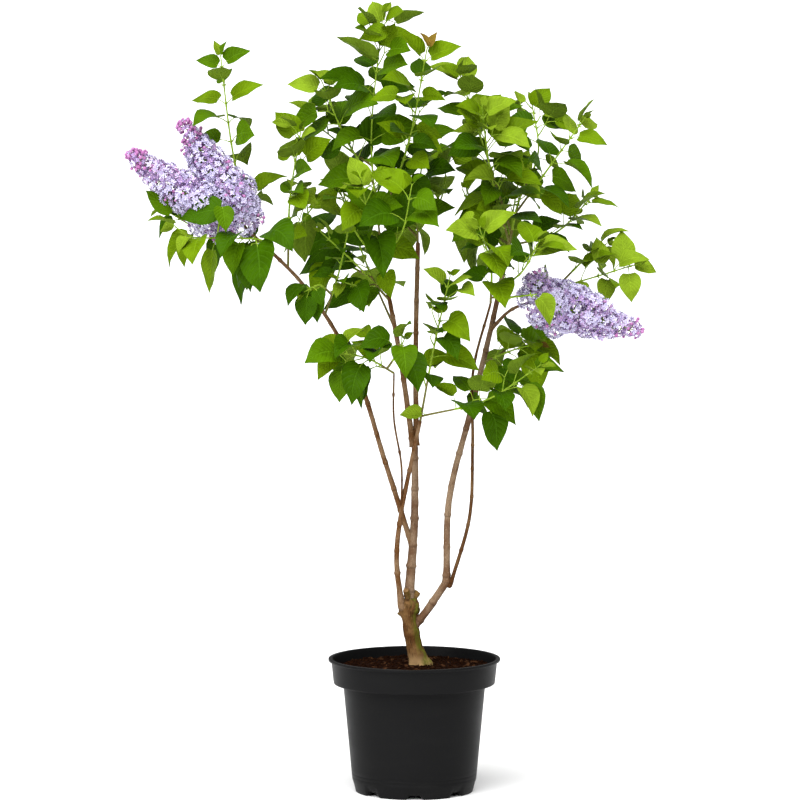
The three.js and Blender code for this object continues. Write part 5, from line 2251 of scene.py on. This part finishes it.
@dataclass
class Foliage:
    """Every mass's leaves, stalks, finer twigs and buds.

    A blade is a thin closed shell: round each station of its midrib stand points at
    the shares of its half width in across, on its face, its border or its underside.
    """

    growth: Growth
    stalks: StalkForm = StalkForm()
    stations: Row = (0, 0.04, 0.11, 0.21, 0.34, 0.49, 0.64, 0.77, 0.89, 1)
    widths: Row = (0, 0.215, 0.330, 0.388, 0.398, 0.362, 0.278, 0.182, 0.076, 0)
    across: Row = (1, 0.5, 0, -0.5, -1, -0.5, 0, 0.5)
    layer: tuple[int, ...] = (0, 1, 1, 1, 0, -1, -1, -1)
    breadth: Span = (0.93, 1.04)
    lobe: float = 0.10
    lobe_fade: float = 0.11
    lobe_power: float = 1.4
    thickness: float = 0.35
    fold: Span = (9, 36)
    roll: float = 0.10
    wave: float = 0.022
    waves: Span = (11, 12.5)
    tones: Row = (0, 0.24, 0.6)
    young_light: float = 0.6
    fine_light: float = 0.06
    uneven: float = 0.44
    bronze: float = 0.04
    bronze_age: Span = (0.75, 1.2)
    bronze_size: float = 38
    seed: int = 20

    def build(self, tubes: Recipe) -> None:
        """Builds each mass in place of its solid: its leaves, and its twigs with stalks.

        Args:
            tubes: the tree that skins the twigs.
        """
        finishes = [material(tone.value) for tone in LeafTone]
        for number, mass in enumerate(self.growth.masses):
            name = mass.row.name
            rng = np.random.default_rng(self.seed + number)
            skin = Skin()
            for leaf in mass.leaves:
                self._blade(skin, leaf, self._tone(leaf, mass.row.light, rng), rng)
            settle(f"{name}_leaves", skin.mesh(name, *finishes), "leaf", name)
            self._lines(mass, rng).skin(f"{name}_twigs", tubes)

    def _tone(self, leaf: Leaf, lean: float, rng: Rng) -> int:
        """Deals a leaf its tone: lighter where it is young, and lighter or darker as painted light
        or shade for where its mass stands.

        Args:
            leaf: the leaf.
            lean: how much painted light (above 0) or painted shade (below 0) its mass's leaves get.
            rng: what decides the rest.

        Returns:
            The tone's number.
        """
        # age and chance give real tone; the mass's lean is painted light and shade, and the
        # thresholds deal the lighter tones widely, partly as painted light shining through leaves
        light = self.young_light * leaf.young + lean + rng.uniform(-self.uneven, self.uneven)
        light += self.fine_light if leaf.fine else 0
        some, always = self.bronze_age
        small = leaf.young > some and leaf.size < self.bronze_size
        if leaf.young > always or small and rng.random() < self.bronze:
            return len(self.tones) + 1
        return int(np.searchsorted(self.tones, light))

    def _blade(self, skin: Skin, leaf: Leaf, tone: int, rng: Rng) -> None:
        """Adds a leaf's blade: folded along its midrib, heart-shaped at its foot, waved.

        Args:
            skin: what it is added to.
            leaf: the leaf.
            tone: its tone's number.
            rng: what decides its fold and its waves.
        """
        u, across, layer = np.array(self.stations), np.array(self.across), np.array(self.layer)
        line = self._midrib(leaf, u)
        share = np.clip((u - LEAF.along[0]) / (LEAF.along[1] - LEAF.along[0]), 0, 1)[:, None]
        up = leaf.ups[0] * (1 - share) + leaf.ups[1] * share
        wide = np.outer(self.widths, across) * leaf.size * rng.uniform(*self.breadth)
        fold = math.radians(rng.uniform(*self.fold))
        left, right = (
            np.sin(u * wave + phase)[:, None]
            for wave, phase in zip(self.waves, rng.uniform(0, 2 * math.pi, 2))
        )
        ripple = np.where(across < 0, left, right)
        wave = self.wave * leaf.size * ripple * np.outer(np.sin(math.pi * u), across ** 2)
        high = np.abs(wide) * (math.sin(fold) - self.roll * np.abs(across))
        high = high + wave + layer * self.thickness / 2
        lobe = np.outer(np.exp(-u / self.lobe_fade), np.abs(across) ** self.lobe_power)
        lobe = self.lobe * leaf.size * lobe
        shape = (wide * math.cos(fold))[..., None] * leaf.sides[0] + high[..., None] * up[:, None]
        rings = line[:, None] + shape + lobe[..., None] * unit(line[0] - line[2])
        below = np.minimum(layer, np.roll(layer, -1)) < 0
        under = list(LeafTone).index(LeafTone.UNDER)
        kinds = np.where(np.tile(below, len(u) - 1), under, tone)
        sides = (np.append(across, across[0]) + 1) / 2
        skin.drum(rings[1:-1], line[0], line[-1], kinds, (u, sides), below)

    @staticmethod
    def _midrib(leaf: Leaf, u: Array) -> Array:
        """A smooth line through a leaf's neck, broad and slim sections and tip.

        Args:
            leaf: the leaf.
            u: shares of its length.

        Returns:
            The points at those shares.
        """
        key = np.array([leaf.neck, leaf.broad, leaf.slim, leaf.tip])
        knots = np.array([0, *LEAF.along, 1])
        slopes = np.gradient(key, knots, axis=0)
        k = np.clip(np.searchsorted(knots, u, side="right") - 1, 0, 2)
        width = (knots[k + 1] - knots[k])[:, None]
        t = (u - knots[k])[:, None] / width
        return bend(key[k], key[k + 1], slopes[k] * width, slopes[k + 1] * width, t)

    def _lines(self, mass: Mass, rng: Rng) -> Lines:
        """Lays the shoots, buds, finer twigs and stalks of a mass.

        Args:
            mass: the mass.
            rng: what decides where green starts and how buds stand.

        Returns:
            The lines.
        """
        form, lines = self.stalks, Lines()
        for shoot in mass.shoots:
            length = shoot.path.length
            steps = max(form.least, round(length / form.step))
            share = np.linspace(0, 1, steps + 1)
            radius = (shoot.foot * form.foot) * (1 - share) + form.tip * share
            for node in shoot.nodes:
                radius = radius + form.node * hump((share - node) * length, 0, form.node_reach)
            lines.add(shoot.path.evenly(steps), radius, share > rng.uniform(*form.green_from))
            for node in shoot.nodes:
                along = shoot.path.heading(node)
                side = unit(np.cross(along, rng.normal(size=3)))
                for way in (along * form.bud_lean + side, along * form.bud_lean - side):
                    out = np.outer(form.bud_out, unit(way))
                    lines.add(shoot.path.at(node) + out, np.array(form.bud_radius))
        for twig in mass.twigs:
            lines.add(twig, form.twig * (1 - form.twig_taper * np.linspace(0, 1, len(twig))))
        for leaf in mass.leaves:
            sag = UP * form.sag * np.linalg.norm(leaf.neck - leaf.root)
            into = leaf.neck + (leaf.broad - leaf.neck) * form.into_blade
            thick = form.stalk_radius[0] + leaf.size * form.stalk_radius[1]
            way = np.array([leaf.root, (leaf.root + leaf.neck) / 2 + sag, leaf.neck, into])
            lines.add(way, np.array(form.stalk) * thick)
        return lines


# --- flower trusses


@dataclass
class FlowerTruss:
    """A flower truss: side branches that end in clusters of double florets.

    A rise says from which share of the cone a change sets in and over how much.
    """

    GOLDEN = 2.39996
    ROUND = 6.28

    row: TrussRow
    growth: Growth
    steps: int = 24
    stem: Span = (1.9, 1.2)
    bare: float = 0.55
    top: float = 0.985
    cluster: Span = (8.5, 17.5)
    ball_share: float = 0.39
    ball_inside: float = 0.75
    ball_sizes: Span = (0.8, 1.25)
    tip_ball: float = 1
    rise: float = 1.7
    turn: float = 1.1
    turns_off: float = 0.2
    out: Span = (0.72, 1.14)
    ahead: Span = (-0.35, 0.45)
    branch: Triple = (0.9, 0.8, 0.6)
    branch_arch: float = 1.5
    branch_lean: float = 0.35
    gap: float = 9.6
    least: int = 5
    bud_gap: float = 0.6
    bud_gap_rise: Span = (0.76, 0.24)
    squash: Span = (0.85, 1.1)
    open_back: float = -0.5
    place_off: float = 0.7
    facing_out: float = 0.45
    facing_off: float = 0.2
    bud: float = 0.04
    bud_rise: Span = (0.78, 0.18)
    bud_sizes: Span = (0.95, 1.35)
    # how far a floret's tint deepens: facing into its cluster as painted shade in the clefts,
    # toward the cone's tip as real deeper colour, and at random
    deep: Triple = (0.7, 0.3, 0.26)
    sizes: Span = (0.82, 1.1)
    small: float = 0.22
    small_rise: Span = (0.7, 0.3)
    tints: Row = (0.22, 0.5, 0.72)
    florets: list[tuple] = field(default_factory=list)
    lines: Lines = field(default_factory=Lines)

    def build(self, scatter: Recipe, tubes: Recipe, shapes: Collection) -> None:
        """Builds the truss in place of its solid.

        Args:
            scatter: the tree that puts florets on points.
            tubes: the tree that skins the stalks.
            shapes: the florets, and the bud as the last of them.
        """
        rng = np.random.default_rng(self.row.seed)
        for axis, path in self.growth.cones:
            if axis in self.row.axes:
                self._axis(axis, path, rng)
        places, facings, sizes, kinds = (np.array(part) for part in zip(*self.florets))
        made = strewn(self.row.name, scatter, shapes, places, facings, sizes, kinds, rng)
        settle(f"{self.row.name}_florets", made, "petal", self.row.name)
        self.lines.skin(f"{self.row.name}_stalks", tubes)

    def _axis(self, axis: AxisRow, path: Path, rng: Rng) -> None:
        """Lays one cone: its stem, its branches and the florets of each cluster.

        Args:
            axis: the cone's plan.
            path: its stem's line.
            rng: what decides how the branches stand.
        """
        way = path.evenly(self.steps)
        ahead, side, over = sweep_frames(way)
        share = np.linspace(0, 1, self.steps + 1)
        self.lines.add(way, self.stem[0] - self.stem[1] * share)
        radius = TRUSS.radius(axis, share)
        small, large = self.cluster
        s, turn = axis.clear * self.bare, rng.uniform(0, self.ROUND)
        while s < self.top:
            i = min(int(s * self.steps), self.steps - 1)
            centre = way[i] + (way[i + 1] - way[i]) * (s * self.steps - i)
            full = float(np.interp(s, share, radius))
            ball = min(max(full * self.ball_share, small), large)
            ring = max(0.0, full - ball * self.ball_inside)
            count = max(2, round(2 * math.pi * ring / (2.0 * ball)))
            turn += self.turn
            for k in range(count):
                off = rng.uniform(-self.turns_off, self.turns_off)
                angle = turn + (k + off) * 2 * math.pi / count
                radial = side[i] * math.cos(angle) + over[i] * math.sin(angle)
                middle = centre + radial * ring * rng.uniform(*self.out)
                middle = middle + ahead[i] * ball * rng.uniform(*self.ahead)
                elbow = (centre + middle) * 0.5 + ahead[i] * self.branch_arch
                self.lines.add(np.array([centre, elbow, middle]), np.array(self.branch))
                out = unit(radial + ahead[i] * self.branch_lean)
                size = ball * rng.uniform(*self.ball_sizes)
                self._cluster(middle, size, out, s, axis.buds, rng)
            s += ball * self.rise / path.length
        self._cluster(way[-1], small + self.tip_ball, ahead[-1], 1.0, axis.buds, rng)

    def _cluster(self, middle: Array, ball: float, out: Array, share: float, buds: float,
                 rng: Rng) -> None:
        """Lays the florets of one cluster over the outer side of a ball.

        Args:
            middle: the ball's middle.
            ball: its radius.
            out: the way it faces.
            share: how far along the cone it is.
            buds: how much of the cone's tip is in bud.
            rng: what decides how the florets stand.
        """

        def risen(rise: Span) -> float:
            """How far a change has come, from 0 to 1."""
            return min(1.0, max(0.0, share - rise[0]) / rise[1])

        gap = self.gap * (1 - self.bud_gap * buds * risen(self.bud_gap_rise))
        total = max(self.least, round(4 * math.pi * ball ** 2 / gap ** 2))
        shift, squash = rng.uniform(0, self.ROUND), rng.uniform(*self.squash, 3)
        back, along, uneven = self.deep
        for k in range(total):
            height = 1 - 2 * (k + 0.5) / total
            ring, around = math.sqrt(1 - height * height), k * self.GOLDEN + shift
            way = np.array([ring * math.cos(around), ring * math.sin(around), height])
            if way @ out < self.open_back:
                continue
            place = middle + way * ball * squash + rng.normal(0, self.place_off, 3)
            facing = unit(way + out * self.facing_out + rng.normal(0, self.facing_off, 3))
            if rng.random() < self.bud + buds * risen(self.bud_rise):
                size, kind = rng.uniform(*self.bud_sizes), len(self.tints) + 1
            else:
                # deeper tints where the floret faces into its cluster are painted shade; nearness
                # to the tip and chance give real tint
                deep = back * (1 - way @ out) + along * share + rng.uniform(-uneven, uneven)
                size = rng.uniform(*self.sizes) * (1 - self.small * risen(self.small_rise))
                kind = int(np.searchsorted(self.tints, deep))
            self.florets.append((place, facing, size, kind))


@dataclass
class FloretShapes:
    """The small shapes that the trusses are made of: four florets and a bud.

    A petal's outline is in shares of its reach: ahead, beside and up.
    """

    radius: float = 6.7
    petals: int = 4
    inner: float = 0.66
    lift: float = 0.9
    outline: tuple[Triple, ...] = (
        (0.06, 0.0, 0.0), (0.58, -0.31, 0.18), (1.0, -0.07, 0.30), (1.0, 0.07, 0.30),
        (0.58, 0.31, 0.18),
    )
    heart: Span = (0.6, 0.06)
    shell: Span = (0.25, 0.12)
    bud: tuple[Span, ...] = ((0.6, -3.0), (0.9, 0.0), (2.4, 1.9), (2.1, 3.8))
    bud_ends: Span = (-3.4, 5.2)
    bud_sides: int = 6

    def collection(self) -> Collection:
        """Makes the shapes, unlinked from the scene.

        Returns:
            A collection of them, in the order of their numbers.
        """
        tints = [
            (PetalTint.PALE, PetalTint.PALE), (PetalTint.BLUE, PetalTint.PALE),
            (PetalTint.PINK, PetalTint.BLUE), (PetalTint.VIOLET, PetalTint.PINK), (PetalTint.BUD,),
        ]
        skins = [Skin() for _ in tints]
        for skin in skins[:-1]:
            self._ring(skin, 0)
            self._ring(skin, 1)
        radius, height = np.array(self.bud).T[:, :, None]
        foot, head = ((0, 0, end) for end in self.bud_ends)
        skins[-1].drum(lathe(radius, height, turns(self.bud_sides)[None]), foot, head)
        return gathered("floret", [
            skin.mesh(f"floret_{number}", *(material(tint.value) for tint in pair))
            for number, (skin, pair) in enumerate(zip(skins, tints))
        ])

    def _ring(self, skin: Skin, inner: int) -> None:
        """Adds a ring of petals, each a thin closed shell.

        Args:
            skin: what it is added to.
            inner: 0 for the outer ring and 1 for the inner.
        """
        reach = self.radius * (self.inner if inner else 1)
        under, over = self.shell
        for turn in turns(self.petals) + inner * math.pi / self.petals:
            ahead = np.array([math.cos(turn), math.sin(turn), 0]) * reach
            beside = np.array([-ahead[1], ahead[0], 0])
            rise = UP * reach * (1 + inner)
            base = UP * inner * self.lift
            border = [ahead * x + beside * y + rise * z + base for x, y, z in self.outline]
            heart = ahead * self.heart[0] + rise * self.heart[1] + base
            skin.drum(np.array([border]), heart - UP * under, heart + UP * over, inner)


# --- pot and soil


@dataclass
class Pot:
    """The round nursery container: collar, bevelled lip, mould lines and notched foot.

    Each bevel or step is a row of offsets, out and up, from the corner that it rounds.
    """

    sizes: PotSizes = POT
    segments: int = 240
    bevel: float = 0.9
    lip_soft: Span = (0.25, 0.3)
    inner_soft: Span = (0.2, 0.3)
    pad_flank: float = 3
    foot_ring: Span = (1, 0.4)
    foot_steps: Row = (5, 10, 15, 19.2)
    lines: Span = (25.2, 31.0)
    line_depth: float = 0.45
    sharp: float = 1e-6
    line_width: float = 0.8
    body: tuple[float, float, int] = (38, 6, 22)
    under_collar: tuple[Span, ...] = ((0, -3), (0.8, -1.2))
    collar_edge: tuple[Span, ...] = ((-1.2, -0.2), (-0.2, 0.6), (0.05, 2))
    collar: tuple[float, float, int] = (5, 2, 9)
    lip_root: tuple[Span, ...] = ((0.3, -0.5), (0.9, 0))
    inside: tuple[float, float, float, int] = (6, 0.4, 14.5, 8)
    floor_edge: tuple[Span, ...] = ((-1.5, 2), (-4, 0))
    notched: tuple[int, int] = (3, 11)

    def build(self) -> None:
        """Builds and dresses the pot in place of its solid."""
        p = self.sizes
        radius, height = self._profile().T[:, :, None]
        angle = turns(self.segments)[None]
        step = 2 * math.pi / p.notches
        off = (angle + QUARTER + step / 2) % step - step / 2
        reach = (p.notch_width + p.notch_flare) / 2 - np.abs(np.sin(off)) * p.foot_radius
        notch = p.notch_height * np.clip(reach / p.notch_flare, 0, 1)
        notch = notch * (1 - height / p.foot_rise)
        notch[:self.notched[0]] = notch[self.notched[1]:] = 0
        skin = Skin()
        skin.drum(lathe(radius, height + notch, angle), (0, 0, 0), (0, 0, p.floor_top))
        mesh = skin.mesh("pot_container", material(PotFinish()))
        settle("pot_container", mesh, "pot_plastic", "pot")

    def _wall(self, height: float) -> float:
        """The outer radius at a height.

        Args:
            height: millimetres above the floor.

        Returns:
            The radius in millimetres.
        """
        p = self.sizes
        shoulder = p.height - p.collar_height
        heights = (0, p.foot_rise, shoulder, shoulder + self.sharp, p.height)
        radii = (p.foot_radius, p.body_foot, p.body_top, p.collar_foot, p.collar_top)
        return float(np.interp(height, heights, radii))

    def _profile(self) -> Array:
        """The turned section from the pad's edge, up outside and down inside.

        Returns:
            A radius and a height for each point.
        """

        def at(radius: float, height: float, *offsets: Span) -> list[Span]:
            """Points so far out and up from a corner."""
            return [(radius + out, height + up) for out, up in offsets]

        p, b = self.sizes, self.bevel
        shoulder, low = p.height - p.collar_height, p.height - p.lip_thickness
        ring = p.foot_radius - p.foot_ring
        knee, (x, z), (ix, iz) = shoulder + p.wall, self.lip_soft, self.inner_soft
        start, end, count = self.body
        foot, top, rows_up = self.collar
        down, by_knee, floor, rows_down = self.inside
        inner = [*np.linspace(p.height - down, knee + by_knee, rows_down),
                 *np.linspace(knee - by_knee, p.floor_top + floor, rows_down)]
        return np.array([
            (p.pad_radius, 0), (p.pad_radius + self.pad_flank, p.floor_under),
            (ring - self.pad_flank, p.floor_under), (ring, self.foot_ring[1]),
            (ring + self.foot_ring[0], 0), *at(p.foot_radius, 0, (-b, 0), (0, b)),
            *((self._wall(h), h) for h in self.foot_steps),
            *((self._wall(h + off) - (0 if off else self.line_depth), h + off)
              for h in self.lines for off in (-self.line_width, 0, self.line_width)),
            *((self._wall(h), h) for h in np.linspace(start, shoulder - end, count)),
            *at(self._wall(shoulder + self.under_collar[0][1]), shoulder, *self.under_collar),
            *at(p.collar_foot, shoulder, *self.collar_edge),
            *((self._wall(h), h) for h in np.linspace(shoulder + foot, low - top, rows_up)),
            *at(self._wall(low), low, *self.lip_root),
            *at(p.lip_radius, low, (-b, 0), (-x, z), (0, b)),
            *at(p.lip_radius, p.height, (0, -b), (-x, -z), (-b, 0)),
            *at(p.inner_radius(p.height), p.height, (b, 0), (ix, -iz), (0, -b)),
            *((p.inner_radius(float(h)), h) for h in inner),
            *at(p.foot_radius, p.floor_top, *self.floor_edge),
        ], float)


@dataclass(frozen=True)
class Bumps:
    """One size of unevenness: how long, how high, its lattice and where it starts in it."""

    length: float
    height: float
    lattice: int
    start: float


@dataclass
class Soil:
    """The potting soil: a crumbly crown with crumbs and bark chips on it."""

    rings: int = 46
    segments: int = 150
    walls: Row = (7.1, 21.5, 120, 174, 181, 199)
    foot: float = 5
    sunk: float = 1.5
    middle: float = 0.02
    crown: Span = (2.0, 60)
    rim_drop: float = 4
    rim: Span = (130, 6)
    level: float = -0.8
    bumps: tuple[Bumps, ...] = (Bumps(16, 1.5, 61, 30), Bumps(5.5, 0.9, 113, 56))
    crumbs: int = 2600
    chips: int = 150
    spread: Span = (0.02, 0.97)
    chip_sizes: Span = (0.6, 1.2)
    crumb_sizes: Span = (0.35, 1.0)
    crumb_power: float = 1.6
    above: Span = (0.6, 0.9)
    tilt: float = 0.25
    clearance: float = 0.8
    stretch: tuple[Triple, ...] = (
        (2.4, 2.1, 1.7), (2.0, 2.3, 1.5), (3.0, 2.2, 1.8), (5.6, 3.0, 0.9),
    )
    lump: Span = (0.89, 0.45)
    lump_sides: int = 5
    lump_uneven: Span = (0.72, 1.2)
    lump_crease: float = 20
    seed: int = 5
    lump_seed: int = 14

    def build(self, scatter: Recipe) -> None:
        """Builds and dresses the soil in place of its solid.

        Args:
            scatter: the tree that puts crumbs on points.
        """
        reach = POT.inner_radius(SOIL_LEVEL) - self.clearance
        radii = [POT.foot_radius - self.foot - self.clearance]
        radii += [POT.inner_radius(z) - self.clearance for z in self.walls[1:]]
        radius = np.append(radii, np.linspace(1, self.middle, self.rings) * reach)[:, None]
        rings = lathe(radius, 0, turns(self.segments)[None])
        rings[..., 2] = self.surface(rings[..., 0], rings[..., 1])
        rings[:len(radii), :, 2] = np.array(self.walls)[:, None]
        rings[len(radii), :, 2] -= self.sunk
        top = float(self.surface(np.zeros(1), np.zeros(1))[0])
        skin = Skin()
        skin.drum(rings, (0, 0, self.walls[0]), (0, 0, top))
        settle("soil_bed", skin.mesh("soil_bed", material(SOIL_DARK)), "potting_soil", "soil")
        self._litter(scatter, reach)

    def surface(self, x: Array, y: Array) -> Array:
        """The soil's height at places.

        Args:
            x: millimetres to the right of the pot's axis.
            y: millimetres behind it.

        Returns:
            The heights above the floor.
        """
        away = np.hypot(x, y)
        (high, wide), (rim, power) = self.crown, self.rim
        swell = high * hump(away, 0, wide) - self.rim_drop * (away / rim) ** power
        height = SOIL_LEVEL + self.level + swell
        for k, b in enumerate(self.bumps):
            relief = Relief(self.seed + k, b.lattice, b.lattice)
            along, around = x / b.length + b.start, (y / b.length + b.start) / b.lattice
            height = height + b.height * relief(along, around)
        return height

    def _litter(self, scatter: Recipe, reach: float) -> None:
        """Scatters crumbs and bark chips over the soil.

        Args:
            scatter: the tree that puts them on points.
            reach: the soil's radius.
        """
        rng = np.random.default_rng(self.seed)
        total = self.crumbs + self.chips
        away = reach * np.sqrt(rng.uniform(*self.spread, total))
        around = rng.uniform(0, 2 * math.pi, total)
        x, y = away * np.cos(around), away * np.sin(around)
        chip = np.arange(total) >= self.crumbs
        sizes = (self.chip_sizes, self.crumb_sizes)
        chips, crumbs = (rng.uniform(low, high, total) for low, high in sizes)
        size = np.where(chip, chips, crumbs ** self.crumb_power)
        places = np.column_stack([x, y, self.surface(x, y) + size * np.where(chip, *self.above)])
        facings = np.column_stack([rng.normal(0, self.tilt, (total, 2)), np.ones(total)])
        last = len(self.stretch) - 1
        kinds = np.where(chip, last, rng.integers(0, last, total))
        made = strewn("soil_litter", scatter, self._shapes(), places, facings, size, kinds, rng)
        settle("soil_litter", made, "potting_soil")

    def _shapes(self) -> Collection:
        """Makes three lumpy crumbs and a bark chip.

        Returns:
            A collection of them, in the order of their numbers.
        """
        rng = np.random.default_rng(self.lump_seed)
        sides, (radius, half) = self.lump_sides, self.lump
        angle = turns(sides) + np.array([[0], [math.pi / sides]])
        made = []
        for finish, size in zip((SOIL_DARK, SOIL_BROWN, SOIL_DARK, BARK_CHIP), self.stretch):
            rings = lathe(radius, np.array([[-half], [half]]), angle)
            skin = Skin(crease=self.lump_crease)
            uneven = rng.uniform(*self.lump_uneven, (2, sides, 1))
            skin.drum(rings * uneven * size, (0, 0, -size[2]), (0, 0, size[2]))
            made.append(skin.mesh(f"litter_{len(made)}", material(finish)))
        return gathered("litter", made)


# --- studio


@dataclass
class Studio:
    """The pale floor, the soft lights and the camera."""

    eye: Triple = (-0.02328, -8.0, 1.385)
    pitch: float = 5.324
    lens: float = 223.18
    sensor: float = 36
    clip: float = 400
    sky: float = 0.42
    sun: float = 5.2
    sun_spread: float = 70
    sun_way: Triple = (0.12, 0.52, -1.0)
    fill: float = 90
    fill_size: float = 2.6
    fill_place: Triple = (-3.0, -4.2, 1.6)
    crown: Triple = (0, 0, 0.75)
    reach: float = 170

    def build(self) -> None:
        """Sets up floor, world, lights and camera."""
        scene = bpy.context.scene
        mesh = bpy.data.meshes.new("floor")
        reach = self.reach
        corners = [(-reach, -reach, 0), (reach, -reach, 0), (reach, reach, 0), (-reach, reach, 0)]
        mesh.from_pydata(corners, [], [(0, 1, 2, 3)])
        mesh.materials.append(material(FLOOR))
        self._hold("floor", mesh)
        world = bpy.data.worlds.new("soft_white")
        world.use_nodes = True
        back = world.node_tree.nodes["Background"]
        back.inputs["Color"].default_value = (1, 1, 1, 1)
        back.inputs["Strength"].default_value = self.sky
        scene.world = world
        key, fill = bpy.data.lights.new("key", "SUN"), bpy.data.lights.new("fill", "AREA")
        key.energy, key.angle = self.sun, math.radians(self.sun_spread)
        fill.energy, fill.size = self.fill, self.fill_size
        self._hold("key", key, way=Vector(self.sun_way))
        self._hold("fill", fill, self.fill_place, Vector(self.crown) - Vector(self.fill_place))
        camera = bpy.data.cameras.new("camera")
        camera.lens, camera.sensor_width, camera.clip_end = self.lens, self.sensor, self.clip
        holder = self._hold("camera", camera, self.eye)
        holder.rotation_euler = (math.radians(90 - self.pitch), 0, 0)
        scene.camera = holder
        scene.view_settings.view_transform = "Standard"

    @staticmethod
    def _hold(name: str, data: bpy.types.ID, place: Triple = (0, 0, 0),
              way: Vector | None = None) -> bpy.types.Object:
        """Links an object that holds the data.

        Args:
            name: its name.
            data: the data.
            place: where it stands.
            way: the way that it looks along.

        Returns:
            The object.
        """
        holder = bpy.data.objects.new(name, data)
        holder.location = place
        if way is not None:
            holder.rotation_euler = way.to_track_quat("-Z", "Y").to_euler()
        bpy.context.scene.collection.objects.link(holder)
        return holder


def main() -> None:
    """Grows, builds and dresses the bush, then notes its size."""
    logging.basicConfig(level=logging.INFO, format="%(name)s: %(message)s")
    Studio().build()
    growth = Growth()
    growth.grow()
    growth.finish()
    growth.grow_fine()
    LOG.info("leaves: %d", sum(len(mass.leaves) for mass in growth.masses))
    Pot().build()
    scatter, tubes = scatter_recipe(), tube_recipe()
    Soil().build(scatter)
    Woodwork(growth).build()
    Foliage(growth).build(tubes)
    shapes = FloretShapes().collection()
    for row in TRUSS_ROWS:
        FlowerTruss(row, growth).build(scatter, tubes, shapes)


if __name__ == "__main__":
    main()
